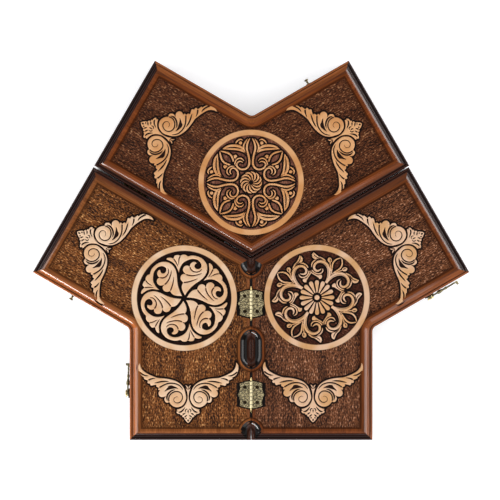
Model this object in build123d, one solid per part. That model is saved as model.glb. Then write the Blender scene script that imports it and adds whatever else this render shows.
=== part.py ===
from build123d import *
import math
import os

# A three-player backgammon board: three bent trays that meet at one corner. They lie open on a
# table with the carved faces up. The right tray folds up and over onto the left one, carved face
# to carved face, and the top tray folds down under the left one, rim to rim.
# All sizes are in millimetres and all angles in degrees.

# One tray
arm_length = 300.0
arm_width = 200.0
board_height = 45.0
panel_thickness = 14.0
rail_thickness = 12.0
rim_chamfer = 1.0

# Gaps between the trays, open and folded
seam_gap_left_right = 0.6
seam_gap_left_top = 3.0
closing_gap = 0.3

# Routed edge of a carved panel, from the outside inwards, the heights below its border, and how round
# the outer edges of its arms meet
lip_width = 4.0
hollow_width = 4.0
slope_width = 7.0
border_width = 6.5
lip_drop = 4.5
hollow_drop = 6.3
slope_drop = 4.8
slope_bulge = 0.35
notch_radius = 10.0
ground_drop = 1.6

# Recesses between the hinges: the routed edge made wider, with round ends and a narrow border
recess_widening = 3.0
recess_straight = 23.0
runout_radius = 22.0
recess_border_width = 5.0
corner_recess_shift = 3.8

# Ring round the carved medallion, and how far each medallion sits off its place on the table
ring_margin = 1.05
ring_outer_radius = 87.0
ring_inner_radius = 77.5
medallion_shifts = {"top": (-1.2, -4.6), "left": (-0.3, -2.6), "right": (-1.4, -1.6)}

# Playing field and its inlaid points
field_thickness = 3.0
inlay_thickness = 1.0
points_per_arm = 6
point_length = 125.0

# Hinges on the carved faces, with shaped leaves, and plain hinges under the rims
hinges_per_seam = 2
leaf_thickness = 1.6
barrel_length = 44.0
barrel_radius = 2.05
bead_rounding = 0.5
hinge_pin_radius = 1.0
running_clearance = 0.05
knuckle_gap = 0.3
knuckles = 7
finial_length = 6.5
finial_radius = 1.5
finial_neck_radius = 1.25
finial_tip_radius = 0.375
finial_swell_place = 2.6
groove_clearance = 0.3
shaped_leaf_reach = 21.5
shaped_leaf_shoulder = 18.6
shaped_leaf_half_edge = 17.6
shaped_leaf_bump = 6.0
shoulder_bulge = 1.0
scallop_depth = 0.8
bump_foot = 0.4
bump_rise = 1.4
plain_leaf_reach = 11.0
hinge_screw_spacing = 25.2
shaped_screw_offset = 10.2
plain_screw_offset = 6.5
screw_head_radius = 2.6
screw_shank_radius = 1.3
screw_length = 11.0
slot_width = 0.6
slot_depth = 0.5

# Hooks and the pins that they catch
hook_place = 109.0
hook_plate_length = 16.0
hook_plate_height = 12.0
hook_plate_thickness = 3.0
hook_screw_radius = 1.75
hook_screw_depth = 9.0
hook_head_radius = 6.0
hook_head_thickness = 2.0
hook_head_rounding = 1.0
hook_slot_width = 1.0
hook_slot_depth = 0.6
lever_thickness = 2.4
lever_width = 2.6
lever_gap = 0.3
eye_radius = 4.6
baluster_start = 13.0
baluster_length = 20.0
baluster_belly_place = 6.0
baluster_belly_radius = 3.0
baluster_waist_place = 14.0
baluster_waist_radius = 1.65
baluster_ring_place = 17.0
baluster_ring_radius = 2.25
claw_width = 2.4
claw_clearance = 0.4
knob_radius = 2.0
knob_height = 3.6
left_hook_droop = 24.0
catch_plate_radius = 4.4
catch_plate_thickness = 1.5
catch_neck_radius = 1.7
catch_neck_end = 7.0
catch_head_radius = 3.4
catch_head_thickness = 2.6
catch_head_rounding = 0.85
catch_depth = 9.0

# How far a cutter reaches past the faces that it cuts
cut_over = 5.0

# The edges of an arm, in order round its outline
arm_edges = ("seam", "end", "outer")

# Direction in which each tray's corner points away from the middle: three bends make a full turn
board_names = ("top", "left", "right")
bend = 360 / len(board_names)
bisectors = {name: 90 + number * bend for number, name in enumerate(board_names)}

# Worked out from the sizes above
half_bend = bend / 2
seam_direction = bisectors["left"] + half_bend
rim_hinge_direction = bisectors["left"] - half_bend
rim_lift = barrel_radius + closing_gap / 2
rail_height = board_height - panel_thickness
turn_angle = 90 - half_bend
moulding_width = lip_width + hollow_width + slope_width
recess_reach = moulding_width + recess_widening
recess_turn = recess_reach - runout_radius
foot_height = board_height - lip_drop - lip_width / 2
ground_inset = moulding_width + border_width
bisector_length = arm_width / math.sin(math.radians(half_bend))
medallion_across = ground_inset + ring_margin + ring_outer_radius
recess_pitch = arm_length / hinges_per_seam
hinge_places = [(number + 0.5) * recess_pitch for number in range(hinges_per_seam)]
mid_height = board_height / 2
notch_distance = board_height + closing_gap
claw_inner_radius = catch_neck_radius + claw_clearance
claw_outer_radius = claw_inner_radius + claw_width
lever_middle = hook_plate_thickness + lever_gap + lever_thickness / 2
hook_stand_off = hook_plate_thickness + 2 * lever_gap + lever_thickness

def direction(angle):
    """Unit vector at an angle in the plane of the table."""
    return Vector(math.cos(math.radians(angle)), math.sin(math.radians(angle)), 0)


def cross_bisector(across):
    """Point of the bisector that lies this far in from the seam edge of an arm."""
    return (across / math.tan(math.radians(half_bend)), across)


left_corner = direction(bisectors["left"]) * (seam_gap_left_right / 2 / math.sin(math.radians(half_bend)))
right_corner = Vector(-left_corner.X, left_corner.Y, 0)
rim_hinge_normal = direction(rim_hinge_direction - 90)
rim_hinge_point = rim_hinge_normal * ((seam_gap_left_top - seam_gap_left_right) / 2)
to_hinge = rim_hinge_normal * (rim_hinge_point - left_corner).dot(rim_hinge_normal)
top_corner = left_corner + to_hinge * 2
corners = {"left": left_corner, "right": right_corner, "top": top_corner}

# The origin is under the middle of the box round the three open trays, on the table
box_low = left_corner.Y - arm_length
box_high = (
    top_corner.Y
    + arm_length * math.sin(math.radians(90 - half_bend))
    + arm_width * math.cos(math.radians(90 - half_bend))
)
recentre = Pos(0, -(box_low + box_high) / 2, 0)


def prism(points, low, high):
    """Upright solid over a polygon."""
    face = make_face(Polyline(*points, close=True))
    return Pos(0, 0, low) * extrude(face, high - low, dir=(0, 0, 1))


def arm_polygon(seam, end, outer):
    """Corners of one arm's half of the tray, set in from its seam, end and outer edges."""
    return [
        cross_bisector(seam),
        (arm_length - end, seam),
        (arm_length - end, arm_width - outer),
        cross_bisector(arm_width - outer),
    ]


def moulding_edges(widening):
    """Outline of the routed edge from the side of the board to the border: lip, hollow, slope."""
    slope_start = lip_width + hollow_width + widening
    slope_middle = slope_start + slope_width / 2
    lip = ThreePointArc(
        (0, 0, foot_height),
        (0, lip_width / 2, board_height - lip_drop),
        (0, lip_width, foot_height),
    )
    hollow = ThreePointArc(
        (0, lip_width, foot_height),
        (0, (lip_width + slope_start) / 2, board_height - hollow_drop),
        (0, slope_start, board_height - slope_drop),
    )
    slope = ThreePointArc(
        (0, slope_start, board_height - slope_drop),
        (0, slope_middle - slope_bulge, board_height - slope_drop / 2 + slope_bulge),
        (0, slope_start + slope_width, board_height),
    )
    return [lip, hollow, slope]


def moulding_section():
    """Section of the panel's edge strip, in the plane across its edge."""
    rest = Polyline(
        (0, moulding_width, board_height),
        (0, moulding_width, rail_height),
        (0, 0, rail_height),
        (0, 0, foot_height),
    )
    return make_face(moulding_edges(0) + rest.edges())


def recess_section():
    """Section of what is cut away for a recess, out to the centre of its round ends."""
    rest = Polyline(
        (0, recess_reach, board_height),
        (0, recess_reach, board_height + cut_over),
        (0, recess_turn, board_height + cut_over),
        (0, recess_turn, foot_height),
        (0, 0, foot_height),
    )
    return make_face(moulding_edges(recess_widening) + rest.edges())


def rail_section():
    """Section of a side rail, with both lower edges eased."""
    return make_face(
        Polyline(
            (0, rim_chamfer, 0),
            (0, rail_thickness - rim_chamfer, 0),
            (0, rail_thickness, rim_chamfer),
            (0, rail_thickness, rail_height),
            (0, 0, rail_height),
            (0, 0, rim_chamfer),
            close=True,
        )
    )


def mitred_strip(edge, depth, low, high):
    """Upright solid over the strip along one of an arm's edges, mitred at both its corners."""
    number = arm_edges.index(edge)
    whole = arm_polygon(0, 0, 0)
    inner = arm_polygon(depth, depth, depth)
    return prism([whole[number], whole[number + 1], inner[number + 1], inner[number]], low, high)


def behind_turn(depth, low, high):
    """What lies between an arm's outer strip of this depth, where it turns round the notch, and its mitre."""
    x, y = cross_bisector(arm_width + notch_radius)
    corner = prism([(x, y), (x, arm_width - depth), cross_bisector(arm_width - depth)], low, high)
    return corner - Pos(x, y, (low + high) / 2) * Cylinder(notch_radius + depth, high - low)


def edge_strips(section, depth):
    """The section carried along an arm's seam, end and outer edges, mitred at their corners and turned round
    the notch between the two outer edges."""
    bar = Pos(-arm_width, 0, 0) * extrude(section, arm_length + 2 * arm_width, dir=(1, 0, 0))
    places = {
        "seam": Location((0, 0, 0), (0, 0, 0)),
        "end": Location((arm_length, 0, 0), (0, 0, 90)),
        "outer": Location((arm_length, arm_width, 0), (0, 0, 180)),
    }
    strips = {}
    for edge, place in places.items():
        strips[edge] = place * bar & mitred_strip(edge, depth, -cut_over, board_height + cut_over)
    x, y = cross_bisector(arm_width + notch_radius)
    box = section.bounding_box()
    straight = [(x, 0), (arm_length, 0), (arm_length, arm_width), (x, arm_width)]
    start = Location((x, arm_width, 0), (0, 0, 180)) * section
    strips["outer"] &= prism(straight, -cut_over, board_height + cut_over)
    strips["outer"] += revolve(start, Axis((x, y, 0), (0, 0, -1)), turn_angle)
    strips["outer"] += behind_turn(depth, box.min.Z, box.max.Z)
    return strips


def recess_cut(along):
    """What is cut away for a recess: a straight run with a half turn at each end."""
    section = recess_section()
    half = recess_straight / 2
    cut = Pos(along - half, 0, 0) * extrude(section, recess_straight, dir=(1, 0, 0))
    cut += Pos(along - half, 0, 0) * revolve(section, Axis((0, recess_turn, 0), (0, 0, 1)), 180)
    cut += Pos(along + half, 0, 0) * revolve(section, Axis((0, recess_turn, 0), (0, 0, -1)), 180)
    return cut & mitred_strip("seam", recess_reach, 0, board_height + cut_over)


def recess_border(along):
    """What the ground's carving leaves standing round a recess."""
    reach = runout_radius + recess_border_width
    height = ground_drop + cut_over
    middle = board_height - ground_drop + height / 2
    block = Pos(along, recess_turn + reach / 2, middle) * Box(recess_straight, reach, height)
    for side in (-1, 1):
        block += Pos(along + side * recess_straight / 2, recess_turn, middle) * Cylinder(reach, height)
    return block


def recess_places():
    """Where the recesses are centred: near the bend, midway between hinges and at the end."""
    return [-corner_recess_shift] + [number * recess_pitch for number in range(1, hinges_per_seam + 1)]


def medallion_centre(board, mirrored):
    """Centre of a tray's medallion, in the frame of one of its arms."""
    x, y = cross_bisector(medallion_across)
    turn = bisectors[board] + (half_bend if mirrored else -half_bend)
    shift = Vector(*medallion_shifts[board]).rotate(Axis.Z, -turn)
    return (x + shift.X, y - shift.Y if mirrored else y + shift.Y)


def carved_panel(hinged, medallion):
    """One arm's half of a carved panel, in the arm's frame: seam edge along X, inside at +Y."""
    strips = edge_strips(moulding_section(), moulding_width)
    inset = (moulding_width, moulding_width, moulding_width)
    panel = prism(arm_polygon(*inset), rail_height, board_height)
    ground = prism(arm_polygon(ground_inset, ground_inset, ground_inset), board_height - ground_drop,
                   board_height + cut_over)
    if hinged:
        strips["seam"] = mitred_strip("seam", moulding_width, rail_height, board_height)
        ground = prism(arm_polygon(-cut_over, ground_inset, ground_inset),
                       board_height - ground_drop, board_height + cut_over)
        for along in recess_places():
            ground -= recess_border(along)
    ground += behind_turn(ground_inset, board_height - ground_drop, board_height + cut_over)
    for strip in strips.values():
        panel += strip
    if hinged:
        for along in recess_places():
            panel -= recess_cut(along)
    height = ground_drop + cut_over
    centre = Pos(*medallion, board_height - ground_drop + height / 2)
    ground -= centre * Cylinder(ring_outer_radius, height)
    panel -= ground
    half = prism(arm_polygon(0, 0, 0), rail_height, board_height + cut_over)
    panel -= (centre * Cylinder(ring_inner_radius, height)) & half
    return panel


def playing_field():
    """Bent sheet inside the tray, against the panel, with pockets for the inlaid points."""
    halves = []
    inset = (rail_thickness, rail_thickness, rail_thickness)
    for mirrored in (False, True):
        half = prism(arm_polygon(*inset), rail_height - field_thickness, rail_height)
        halves.append(arm_to_board(half, mirrored))
    field = halves[0] + halves[1]
    for mirrored in (False, True):
        for number in range(points_per_arm):
            field -= arm_to_board(inlaid_point(number), mirrored)
    return field


def inlaid_point(number):
    """One long triangle, its base on the arm's end rail and its tip towards the bend."""
    width = (arm_width - 2 * rail_thickness) / points_per_arm
    near = rail_thickness + number * width
    base = arm_length - rail_thickness
    corners_of_point = [(base, near), (base, near + width), (base - point_length, near + width / 2)]
    low = rail_height - field_thickness
    return prism(corners_of_point, low, low + inlay_thickness)


def arm_to_board(piece, mirrored):
    """From the arm's frame to the tray's, where the bisector is +X: one arm is the other's mirror."""
    if mirrored:
        return Rot(0, 0, half_bend) * mirror(piece, about=Plane.XZ)
    return Rot(0, 0, -half_bend) * piece


def place_board(piece, board):
    """From a tray's frame to its place on the table."""
    corner = corners[board]
    return Location((corner.X, corner.Y, rim_lift), (0, 0, bisectors[board])) * piece


def hinge_frame(carved, along):
    """Frame of a hinge: X along its pin, the left tray at -Y and the folding one at +Y."""
    if carved:
        height = rim_lift + board_height + closing_gap / 2
        origin = direction(seam_direction) * along + Vector(0, 0, height)
        return Plane(origin=origin, x_dir=direction(seam_direction), z_dir=(0, 0, 1))
    height = rim_lift - closing_gap / 2
    origin = rim_hinge_point + direction(rim_hinge_direction) * along + Vector(0, 0, height)
    return Plane(origin=origin, x_dir=direction(rim_hinge_direction), z_dir=(0, 0, -1))


def shaped_outline():
    """Outline of half a shaped leaf: a curved shoulder, a scalloped edge and a pointed bump."""
    half = barrel_length / 2
    tip = shaped_leaf_reach
    shoulder = shaped_leaf_shoulder
    corner = shaped_leaf_half_edge
    bump = shaped_leaf_bump
    side = Line((half, 0), (half, barrel_radius))
    foot = shoulder + bump_foot
    end_middle = ((half + corner) / 2 + shoulder_bulge, tip / 2)
    scallop_middle = ((corner + bump) / 2, shoulder - scallop_depth)
    end = ThreePointArc((half, barrel_radius), end_middle, (corner, shoulder))
    scallop = ThreePointArc((corner, shoulder), scallop_middle, (bump, foot))
    point = ThreePointArc((bump, foot), (bump / 2, shoulder + bump_rise), (0, tip))
    close_up = Polyline((0, tip), (0, 0), (half, 0))
    half_face = make_face([side, end, scallop, point] + close_up.edges())
    return half_face + mirror(half_face, about=Plane.YZ)


def plain_outline():
    """Outline of a plain leaf: a rectangle from the pin outwards."""
    return Pos(0, plain_leaf_reach / 2) * Rectangle(barrel_length, plain_leaf_reach)


def knuckle_spans(odd):
    """Start and end of every second knuckle along the pin, beginning at the end one if odd."""
    pitch = (barrel_length + knuckle_gap) / knuckles
    first = 0 if odd else 1
    start = -barrel_length / 2
    return [
        (start + number * pitch, start + (number + 1) * pitch - knuckle_gap)
        for number in range(first, knuckles, 2)
    ]


def along_x(radius, start, end):
    """Round bar along X."""
    return Pos((start + end) / 2, 0, 0) * Rot(0, 90, 0) * Cylinder(radius, end - start)


def screw_points(offset):
    """Where a leaf's two screws go."""
    return [(-hinge_screw_spacing / 2, offset), (hinge_screw_spacing / 2, offset)]


def leaf_top():
    """Height of a leaf's face under the pin's axis."""
    return -closing_gap / 2


def screw(extra):
    """Countersunk screw with its head's face at z 0, made larger all round by extra."""
    cone = Pos(0, 0, -leaf_thickness / 2) * Cone(
        screw_shank_radius + extra, screw_head_radius + extra, leaf_thickness
    )
    shank = Pos(0, 0, -(screw_length + extra) / 2) * Cylinder(screw_shank_radius + extra, screw_length + extra)
    return cone + shank


def slotted_screw():
    """The screw with a slot across its head."""
    slot = Pos(0, 0, -slot_depth / 2) * Box(2 * screw_head_radius, slot_width, slot_depth)
    return screw(0) - slot


def leaf(outline, offset, odd):
    """One leaf, at +Y, with its own knuckles and cut back from the other leaf's."""
    top = leaf_top()
    plate = Pos(0, 0, top - leaf_thickness) * extrude(outline, leaf_thickness, dir=(0, 0, 1))
    for start, end in knuckle_spans(not odd):
        plate -= along_x(barrel_radius + knuckle_gap, start - knuckle_gap, end + knuckle_gap)
    plate -= Pos(0, -barrel_radius, 0) * Box(2 * barrel_length, 2 * barrel_radius, 4 * leaf_thickness)
    for start, end in knuckle_spans(odd):
        knuckle = along_x(barrel_radius, start, end)
        rounding = min(bead_rounding, (barrel_radius - hinge_pin_radius) / 2, (end - start) / 3)
        knuckle = fillet(knuckle.edges().filter_by(GeomType.CIRCLE), rounding)
        plate += knuckle
    plate -= along_x(hinge_pin_radius + running_clearance, -barrel_length, barrel_length)
    for x, y in screw_points(offset):
        plate -= Pos(x, y, top) * screw(running_clearance)
    return plate


def hinge_pin(finials):
    """Pin of a hinge, with a turned finial at each end where it shows."""
    half = barrel_length / 2
    if not finials:
        return along_x(hinge_pin_radius, -half, half)
    pin = along_x(hinge_pin_radius, -half, half)
    swell = half + finial_swell_place
    tip = half + finial_length
    outline = make_face(
        [
            Line((half, 0), (half, finial_neck_radius)),
            ThreePointArc((half, finial_neck_radius), (swell, finial_radius), (tip, finial_tip_radius)),
            Line((tip, finial_tip_radius), (tip, 0)),
            Line((tip, 0), (half, 0)),
        ]
    )
    finial = revolve(outline, Axis.X, 360)
    return pin + finial + Rot(0, 0, 180) * finial


def hinge_seat(outline, finials):
    """What a hinge takes out of a tray: a bed for the leaf and a groove for the barrel."""
    top = leaf_top()
    end = finial_length if finials else 0
    length = barrel_length / 2 + end + groove_clearance
    bed = Pos(0, 0, top - leaf_thickness) * extrude(outline, leaf_thickness + cut_over, dir=(0, 0, 1))
    return bed + along_x(barrel_radius + groove_clearance, -length, length)


def hinge_set(pieces, carved):
    """Both hinges of one fold: leaves, pins and screws, with their seats cut in the trays."""
    name = "carved_hinge" if carved else "rim_hinge"
    other = "right" if carved else "top"
    offset = shaped_screw_offset if carved else plain_screw_offset
    outline = shaped_outline() if carved else plain_outline()
    screws = {"left": [], other: []}
    if carved:
        seats = {"left": "left_panel_lower", "right": "right_panel_lower"}
    else:
        seats = {"left": "left_seam_rail_upper", "top": "top_seam_rail_left"}
    for number, along in enumerate(hinge_places, start=1):
        place = hinge_frame(carved, along).location
        pieces[f"{name}_{number}_left_leaf"] = place * mirror(leaf(outline, offset, True), about=Plane.XZ)
        pieces[f"{name}_{number}_{other}_leaf"] = place * leaf(outline, offset, False)
        pieces[f"{name}_{number}_pin"] = place * hinge_pin(carved)
        for board, node in seats.items():
            seat = hinge_seat(outline, carved)
            if board == "left":
                seat = mirror(seat, about=Plane.XZ)
            pieces[node] -= place * seat
            for x, y in screw_points(offset):
                spot = place * Pos(x, -y if board == "left" else y, leaf_top())
                pieces[node] -= spot * screw(running_clearance)
                screws[board].append(spot * slotted_screw())
    for board, group in screws.items():
        pieces[f"{name}_{board}_screws"] = Compound(group)


def wall_frame(board, arm_angle, toward_end):
    """Frame on an arm's outer wall at the hook's place: Z outwards, X along the wall."""
    bisector = direction(bisectors[board])
    along = direction(arm_angle)
    inner_corner = corners[board] + bisector * bisector_length
    spot = inner_corner + along * hook_place + Vector(0, 0, rim_lift + mid_height)
    outward = bisector - along * bisector.dot(along)
    x_dir = along if toward_end else along * -1
    return Plane(origin=spot, x_dir=x_dir, z_dir=outward.normalized())


def right_hook_frame():
    """Where the right tray's hook is: on its upper arm, opening upwards."""
    return wall_frame("right", bisectors["right"] + half_bend, toward_end=True)


def left_hook_frame():
    """Where the left tray's hook is: on its lower arm, opening downwards."""
    return wall_frame("left", seam_direction, toward_end=False)


def hook_plate():
    """Oval plate that holds the hook off the wall."""
    plate = SlotOverall(hook_plate_length, hook_plate_height)
    solid = extrude(plate, hook_plate_thickness)
    return solid - Cylinder(hook_screw_radius + running_clearance, 4 * hook_plate_thickness)


def hook_lever():
    """Eye, turned bar, open claw and finger knob, along +X with the claw's mouth at +Y."""
    bar_end = notch_distance - claw_inner_radius
    eye = Pos(0, 0, lever_middle) * Cylinder(eye_radius, lever_thickness)
    bar = Pos(bar_end / 2, 0, lever_middle) * Box(bar_end, lever_width, lever_thickness)
    claw = Pos(notch_distance, 0, lever_middle) * Cylinder(claw_outer_radius, lever_thickness)
    tail = baluster_start + baluster_length
    swell = make_face(
        [
            Spline(
                (baluster_start, lever_width / 2),
                (baluster_start + baluster_belly_place, baluster_belly_radius),
                (baluster_start + baluster_waist_place, baluster_waist_radius),
                (baluster_start + baluster_ring_place, baluster_ring_radius),
                (tail, lever_width / 2),
            ),
            Line((tail, lever_width / 2), (tail, 0)),
            Line((tail, 0), (baluster_start, 0)),
            Line((baluster_start, 0), (baluster_start, lever_width / 2)),
        ]
    )
    baluster = Pos(0, 0, lever_middle) * revolve(swell, Axis.X, 360)
    knob_place = notch_distance + claw_outer_radius + knob_radius / 2
    knob_length = lever_thickness + knob_height
    knob_middle = hook_plate_thickness + lever_gap + knob_length / 2
    knob = Pos(knob_place, 0, knob_middle) * Cylinder(knob_radius, knob_length)
    lever = eye + bar + claw + baluster + knob
    mouth_length = 2 * claw_outer_radius
    lever -= Pos(notch_distance, 0, lever_middle) * Cylinder(claw_inner_radius, 2 * lever_thickness)
    lever -= Pos(notch_distance, mouth_length / 2, lever_middle) * Box(
        2 * claw_inner_radius, mouth_length, 2 * lever_thickness
    )
    lever -= Cylinder(hook_screw_radius + running_clearance, 4 * hook_stand_off)
    return lever


def hook_screw():
    """Screw that the hook turns on, with a broad domed head."""
    length = hook_screw_depth + hook_stand_off
    shank = Pos(0, 0, length / 2 - hook_screw_depth) * Cylinder(hook_screw_radius, length)
    head = Pos(0, 0, hook_stand_off + hook_head_thickness / 2) * Cylinder(hook_head_radius, hook_head_thickness)
    rim = head.edges().filter_by(GeomType.CIRCLE).sort_by(Axis.Z)[-1]
    head = fillet(rim, hook_head_rounding)
    top = Pos(0, 0, hook_stand_off + hook_head_thickness)
    slot = top * Box(2 * hook_head_radius, hook_slot_width, 2 * hook_slot_depth)
    return shank + head - slot


def catch_plate():
    """Round plate under a catch pin."""
    plate = Pos(0, 0, catch_plate_thickness / 2) * Cylinder(catch_plate_radius, catch_plate_thickness)
    return plate - Cylinder(catch_neck_radius + running_clearance, 4 * catch_plate_thickness)


def catch_pin():
    """Spool-shaped pin that the hook's claw goes round, driven into the wall."""
    length = catch_depth + catch_neck_end
    neck = Pos(0, 0, length / 2 - catch_depth) * Cylinder(catch_neck_radius, length)
    head = Pos(0, 0, catch_neck_end + catch_head_thickness / 2) * Cylinder(catch_head_radius, catch_head_thickness)
    head = fillet(head.edges().filter_by(GeomType.CIRCLE), catch_head_rounding)
    return neck + head


def add_hook(pieces, board, frame, rail, droop):
    """A hook with its plate and screw on a wall, and the hole that the screw goes into."""
    place = frame.location
    pieces[f"{board}_hook_plate"] = place * hook_plate()
    pieces[f"{board}_hook"] = place * Rot(0, 0, droop) * hook_lever()
    pieces[f"{board}_hook_screw"] = place * hook_screw()
    pieces[rail] -= place * Cylinder(hook_screw_radius + running_clearance, 2 * hook_screw_depth)


def add_catch(pieces, board, frame, rail):
    """A catch pin and its plate on a wall, and the hole that the pin goes into."""
    place = frame.location
    pieces[f"{board}_catch_plate"] = place * catch_plate()
    pieces[f"{board}_catch_pin"] = place * catch_pin()
    pieces[rail] -= place * Cylinder(catch_neck_radius + running_clearance, 2 * catch_depth)


def board_pieces():
    """Panels, rails, playing fields and inlaid points of the three trays."""
    arms = {"left": ("upper", "lower"), "right": ("lower", "upper"), "top": ("right", "left")}
    hinged_arms = (("left", "lower"), ("right", "lower"))
    rails = edge_strips(rail_section(), rail_thickness)
    field = playing_field()
    pieces = {}
    for board, arm_names in arms.items():
        for mirrored, arm in zip((False, True), arm_names):
            panel = carved_panel((board, arm) in hinged_arms, medallion_centre(board, mirrored))
            pieces[f"{board}_panel_{arm}"] = place_board(arm_to_board(panel, mirrored), board)
            for edge, rail in rails.items():
                pieces[f"{board}_{edge}_rail_{arm}"] = place_board(arm_to_board(rail, mirrored), board)
        pieces[f"{board}_playing_field"] = place_board(field, board)
        for shade, first in (("dark", 0), ("light", 1)):
            group = []
            for mirrored in (False, True):
                start = first if mirrored else 1 - first
                for number in range(start, points_per_arm, 2):
                    group.append(place_board(arm_to_board(inlaid_point(number), mirrored), board))
            pieces[f"{board}_{shade}_points"] = Compound(group)
    return pieces


def build():
    """Every piece by node name, in its place with the boards open."""
    pieces = board_pieces()
    hinge_set(pieces, carved=True)
    hinge_set(pieces, carved=False)
    add_hook(pieces, "right", right_hook_frame(), "right_outer_rail_upper", 0.0)
    add_hook(pieces, "left", left_hook_frame(), "left_outer_rail_lower", left_hook_droop)
    left_catch = wall_frame("left", rim_hinge_direction, toward_end=True)
    top_catch = wall_frame("top", bisectors["top"] - half_bend, toward_end=True)
    add_catch(pieces, "left", left_catch, "left_outer_rail_upper")
    add_catch(pieces, "top", top_catch, "top_outer_rail_right")
    return {name: recentre * piece for name, piece in pieces.items()}


def print_axes():
    """The axis of every joint, for the record."""
    spots = {
        "fold_right": hinge_frame(True, 0.0),
        "fold_top": hinge_frame(False, 0.0),
        "right_hook": right_hook_frame(),
        "left_hook": left_hook_frame(),
    }
    for name, frame in spots.items():
        point = (recentre * frame.location).position
        axis = frame.x_dir if name.startswith("fold") else frame.z_dir
        print(name, [round(v, 4) for v in point], [round(v, 6) for v in axis])


def main():
    """Write every piece to its own file."""
    os.makedirs("parts", exist_ok=True)
    pieces = build()
    for name, piece in pieces.items():
        export_step(piece, f"parts/{name}.step")
    print_axes()
    print(len(pieces), "nodes")


main()
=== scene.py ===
import math

import bpy
import numpy as np
from mathutils.geometry import delaunay_2d_cdt
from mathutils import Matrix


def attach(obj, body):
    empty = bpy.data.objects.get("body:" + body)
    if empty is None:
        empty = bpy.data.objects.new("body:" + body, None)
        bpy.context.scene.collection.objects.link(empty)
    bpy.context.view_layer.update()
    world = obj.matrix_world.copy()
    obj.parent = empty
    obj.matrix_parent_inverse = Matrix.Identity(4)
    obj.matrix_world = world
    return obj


# A three-player backgammon board, open on a table with its carved faces up.
# Sizes are in millimetres unless a name or a comment says metres; meshes are put down in metres.
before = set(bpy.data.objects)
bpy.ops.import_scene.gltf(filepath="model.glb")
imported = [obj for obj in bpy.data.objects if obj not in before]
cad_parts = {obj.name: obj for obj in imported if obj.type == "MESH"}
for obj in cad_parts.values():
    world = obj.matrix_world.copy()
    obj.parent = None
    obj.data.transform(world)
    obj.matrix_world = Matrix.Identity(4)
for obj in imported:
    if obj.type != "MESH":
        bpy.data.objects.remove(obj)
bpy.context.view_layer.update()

# The trays, as the frame has them
arm_length = 300.0
arm_width = 200.0
bend = 120.0
meeting_point = (0.0, -12.7284)
seam_gap_left_right = 0.6
seam_gap_left_top = 3.0
border_inner_inset = 21.5
moulding_width = 15.0
lip_width = 4.0
ring_margin = 1.05
ring_outer_radius = 87.0
ring_inner_radius = 77.5
hinge_pitch = 150.0
recess_half_straight = 11.5
recess_turn_depth = 4.0
recess_radius = 22.0
recess_border_width = 5.0
corner_recess_shift = 3.8
notch_radius = 10.0
ground_height = 45.6
border_height = 47.2

# The relief: its height over the ground, the share of it that stands at the rim, the width of the fall
# outside the rim and of the dark contour round it, which is painted shade at the relief's foot, and how far a
# sheet lies over the ground
relief_height = 1.6
rim_share = 0.55
fall_width = 0.22
contour_width = 3.2
sheet_lift = 0.08

# Grooves: how much wider they are cut than drawn, how steeply, and how deep at most
groove_spread = 2.1
groove_slope = 1.3
groove_depth = 0.9
stroke_spread = {"right": 1.1, "top": 1.08}

# The sheets' meshes: the step along an outline, the rings of points beside it, the loose grid, how near a
# point comes to an outline, the step round a disc in degrees, and what counts as one point
carving_step = 0.7
inner_ring_share = 0.45
outer_rings = (fall_width, 0.8, 1.6, contour_width)
groove_ring = 0.3
grid_across = 2.2
grid_up = 1.9
grid_margin = 4.0
clearance = 1.3
clearance_share = 0.85
disc_step = 1.5
disc_rim = 0.6
same_point = 0.004

# Distances are worked out up to far, in square tiles, and windings in strips of X; an edge is buried if a
# point just outside it lies in another shape
far = 4.0
tile = 8.0
strip = 3.0
just_outside = 0.03

# How far each medallion's middle lies off its place on the bisector, along the table, and its turn in
# degrees; and the gap round a medallion's disc
medallion_shifts = {"top": (-1.2, -4.6), "left": (-0.3, -2.6), "right": (-1.4, -1.6)}
medallion_turns = {"top": 0.0, "left": -0.1, "right": -31.6}
disc_clearance = 0.02

# The daisy's petals and its middle, and the small swirl's petals
petals = 16
daisy_turn = 32.0
button_radius = 4.2
button_sides = 24
swirl_petals = 12
swirl_turn = 6.0

# Where each wing's middle lies, along its arm and across it, and its turn in degrees
wing_places = {
    ("left", "lower"): (231.8, 103.2, -0.1),
    ("left", "upper"): (230.0, 105.4, 0.0),
    ("right", "lower"): (230.8, 101.7, 0.1),
    ("right", "upper"): (227.8, 105.2, -0.9),
    ("top", "left"): (229.2, 99.5, -0.6),
    ("top", "right"): (227.0, 99.5, 0.4),
}

# Leaves of the shaped hinges: half their length along the pin, the knuckles along it, the leaves' reach off
# it, and the rings chased into them, each with its middle off the pin and along it, and its radius
leaf_half_length = 22.0
knuckles = 7
leaf_reach = 20.0
leaf_scrolls = [(6.4, 4.6, 3.2), (12.4, 5.4, 2.7), (17.0, 3.4, 2.2), (16.4, 10.0, 2.4), (10.2, 12.6, 2.9),
                (5.6, 11.4, 2.2), (15.2, 15.6, 1.8), (5.4, 17.2, 2.3), (11.0, 18.6, 1.9), (9.4, 0.0, 1.6)]

# How fine the textures are along the grain and across it, in steps a millimetre
fibre_scale = (0.02, 0.9, 0.9)
band_scale = (0.004, 0.07, 0.07)
pit_scale = (0.24, 0.58, 0.58)
fine_scale = (0.2, 0.64, 0.64)
streak_scale = (0.05, 0.55, 0.55)
slow_scale = (0.008, 0.05, 0.05)
warmth_scale = 0.035
patch_scale = 0.35
plate_scale = 0.3
chasing_scale = 0.55

# Where wood grain and the beaten ground turn from one colour to the next, and how much each noise counts
grain_fade = (0.3, 0.7)
fibre_share = 0.6
warmth_fade = (0.38, 0.62)
grain_in_pale_wood = 0.14
pit_randomness = 0.85
fine_weight = 2.2
streak_weight = 1.1
slow_weight = 1.0
ground_fade = (0.05, 0.9)
fleck_fade = (0.8, 1.2)
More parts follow.
